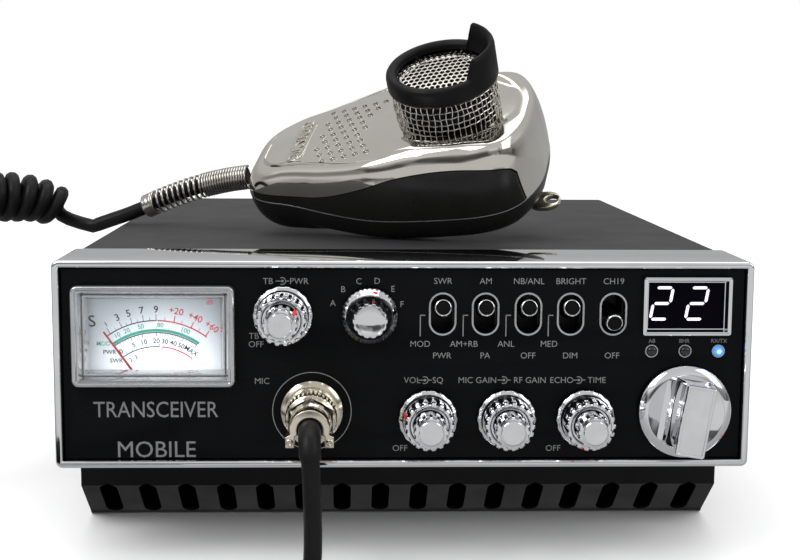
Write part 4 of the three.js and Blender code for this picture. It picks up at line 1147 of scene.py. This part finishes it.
# ---- the coil spring over the cord at the microphone ----
spring_axis = curve_through(SPRING, 0.5)
spring_s = along(spring_axis)
_, spring_side, spring_up = carried(spring_axis)
FERRULE, OPEN_TO, OPEN_PITCH, TIGHT_PITCH, COIL_R = 4.7, 24.5, 2.15, 0.98, 3.95
phase = np.where(spring_s < FERRULE, 0, np.where(spring_s < OPEN_TO, (spring_s - FERRULE) / OPEN_PITCH,
                 (OPEN_TO - FERRULE) / OPEN_PITCH + (spring_s - OPEN_TO) / TIGHT_PITCH)) * TAU
count = int((phase[-1]) / TAU * 20)
phases = np.linspace(0, phase[-1], count)
start = np.searchsorted(spring_s, FERRULE)
s_at = np.interp(phases, phase[start - 1:], spring_s[start - 1:])
centre, side, up = (looked_up(s_at, spring_s, line) for line in (spring_axis, spring_side, spring_up))
coil = centre + COIL_R * (np.cos(phases)[:, None] * side + np.sin(phases)[:, None] * up)
ferrule_line = spring_axis[spring_s <= FERRULE + 0.3]
ferrule_r = np.interp(np.linspace(0, 1, len(ferrule_line)), [0, 0.08, 0.16, 0.3, 0.36, 0.44, 0.6, 0.66, 0.74,
        0.95, 1], [3.6, 4.1, 4.25, 4.25, 4.0, 4.25, 4.25, 4.0, 4.25, 4.25, 3.9])
spring = merge(sweep(coil, 0.46, 7), sweep(ferrule_line, ferrule_r, 32))
piece("mic_spring", spring, spring_steel, "mesh_steel", ["mic_strain_spring"], to=ROW, body="microphone",
      sharp=60)

# ---- screws ----
for sign, where in ((1, ROW @ Matrix(((0, 0, 1, 0), (1, 0, 0, 0), (0, 1, 0, 0), (0, 0, 0, 1)))),
                    (-1, ROW @ Matrix(((0, 0, -1, 0), (-1, 0, 0, 0), (0, 1, 0, 0), (0, 0, 0, 1))))):
    heads = [cross_screw(sign * y, z, 99.5, 3.0, 1.5) for y, z in ((-70, 73), (10, 73), (92, 73))]
    heads += [cross_screw(sign * y, z, 99.2, 3.0, 1.5) for y, z in ((-70, 44), (92, 44))]
    piece("side_screws_right" if sign > 0 else "side_screws_left", merge(*heads), steel, "control_steel",
          to=where, sharp=40)

# ---- floor, lights and surroundings ----
floor = linked("floor", bpy.data.meshes.new("floor"))
floor.data.from_pydata([(-6, -6, 0), (6, -6, 0), (6, 6, 0), (-6, 6, 0)], [], [(0, 1, 2, 3)])


def make_floor():
    """White paper; in reflections it is a painted glow instead, with painted shade darkening it towards the
    radio, as in a softly lit studio.
    """
    m = surface("floor_paper_with_painted_shade", (0.93, 0.93, 0.93), 0.8, shade=(0.92, 0.92, 0.92), tone=4, spec=0.1)
    nodes, links = m.node_tree.nodes, m.node_tree.links
    path, mirrored, mix = (nodes.new(f"ShaderNode{kind}") for kind in ("LightPath", "Emission", "MixShader"))
    split, shade_near_radio = nodes.new("ShaderNodeSeparateXYZ"), nodes.new("ShaderNodeMapRange")
    links.new(nodes.new("ShaderNodeTexCoord").outputs["Object"], split.inputs[0])
    # painted shade: the glow seen in reflections is dimmer close in front of the radio
    put(shade_near_radio, {"From Min": -0.145, "From Max": -0.27, "To Min": 0.4, "To Max": 0.64})
    links.new(split.outputs["Y"], shade_near_radio.inputs["Value"])
    links.new(shade_near_radio.outputs["Result"], mirrored.inputs["Strength"])
    links.new(path.outputs["Is Glossy Ray"], mix.inputs["Fac"])
    links.new(nodes["Principled BSDF"].outputs[0], mix.inputs[1])
    links.new(mirrored.outputs[0], mix.inputs[2])
    links.new(mix.outputs[0], nodes["Material Output"].inputs["Surface"])
    return m


floor.data.materials.append(make_floor())


def area(name, at_point, look, size, energy):
    data = bpy.data.lights.new(name, "AREA")
    data.shape, data.size, data.size_y = "RECTANGLE", size[0], size[1]
    data.energy = energy
    o = linked(name, data)
    o.location = at_point
    o.rotation_euler = (Vector(look) - Vector(at_point)).to_track_quat("-Z", "Y").to_euler()


area("key", (-0.75, -0.6, 1.0), (0, 0, 0.05), (0.7, 0.7), 6)
area("fill", (0.9, -0.5, 0.7), (0, 0, 0.05), (0.5, 0.8), 2)
area("top", (0, 0.2, 1.3), (0, 0, 0), (1.2, 0.8), 5)


def make_world():
    """White to the camera. Reflections see a studio: bright above and behind, dark zones low in front."""
    world = bpy.data.worlds.new("studio")
    bpy.context.scene.world = world
    world.use_nodes = True
    nodes, links = world.node_tree.nodes, world.node_tree.links
    nodes.clear()
    out, path, split, height = (nodes.new(f"ShaderNode{kind}") for kind in ("OutputWorld", "LightPath",
            "SeparateXYZ", "ValToRGB"))
    where = nodes.new("ShaderNodeTexCoord").outputs["Generated"]
    links.new(where, split.inputs[0])

    def span(value, low, high, start, end):
        n = put(nodes.new("ShaderNodeMapRange"), {"From Min": low, "From Max": high, "To Min": start,
                                                  "To Max": end})
        n.interpolation_type = "SMOOTHSTEP"
        links.new(value, n.inputs["Value"])
        return n.outputs["Result"]

    def blended(share, a, b):
        n = nodes.new("ShaderNodeMix")
        for socket, value in zip(n.inputs[:4], (share, None, a, b)):
            if isinstance(value, float):
                socket.default_value = value
            elif value is not None:
                links.new(value, socket)
        return n.outputs["Result"]

    def background(strength):
        n = put(nodes.new("ShaderNodeBackground"), {"Color": (1, 1, 1, 1)})
        if isinstance(strength, float):
            n.inputs["Strength"].default_value = strength
        else:
            links.new(strength, n.inputs["Strength"])
        return n.outputs[0]

    def either(test, no, yes):
        n = nodes.new("ShaderNodeMixShader")
        for socket, value in zip(n.inputs, (path.outputs[test], no, yes)):
            links.new(value, socket)
        return n.outputs[0]

    stops = ((0.0, 0.6), (0.46, 0.5), (0.5, 0.3), (0.56, 0.16), (0.62, 0.26), (0.68, 0.66), (0.76, 0.66),
             (0.84, 0.6), (1.0, 0.58))
    ramp = height.color_ramp
    ramp.elements[0].position, ramp.elements[1].position = stops[0][0], stops[-1][0]
    ramp.elements[0].color, ramp.elements[1].color = (*[stops[0][1]] * 3, 1), (*[stops[-1][1]] * 3, 1)
    for position, value in stops[1:-1]:
        ramp.elements.new(position).color = (value, value, value, 1)
    rise = put(nodes.new("ShaderNodeMapRange"), {"From Min": -1})
    links.new(split.outputs["Z"], rise.inputs["Value"])
    links.new(rise.outputs["Result"], height.inputs["Fac"])
    patches = put(nodes.new("ShaderNodeTexNoise"), {"Scale": 2.4, "Detail": 1.0})
    links.new(where, patches.inputs["Vector"])
    contrast = span(patches.outputs["Fac"], 0.44, 0.56, 0.35, 1.3)
    patchy = blended(span(split.outputs["Z"], 0.28, 0.5, 0.0, 1.0), contrast, 1.0)
    front = nodes.new("ShaderNodeMath")
    front.operation = "MULTIPLY"
    links.new(height.outputs["Color"], front.inputs[0])
    links.new(patchy, front.inputs[1])
    back = blended(span(split.outputs["Z"], 0.2, 0.5, 0.0, 1.0), 0.42, 0.56)
    studio = blended(span(split.outputs["Y"], -0.15, 0.35, 0.0, 1.0), front.outputs[0], back)
    seen = either("Is Camera Ray", either("Is Glossy Ray", background(1.15), background(studio)),
                  background(1.0))
    links.new(seen, out.inputs["Surface"])


make_world()
bpy.context.scene.view_settings.view_transform = "Standard"
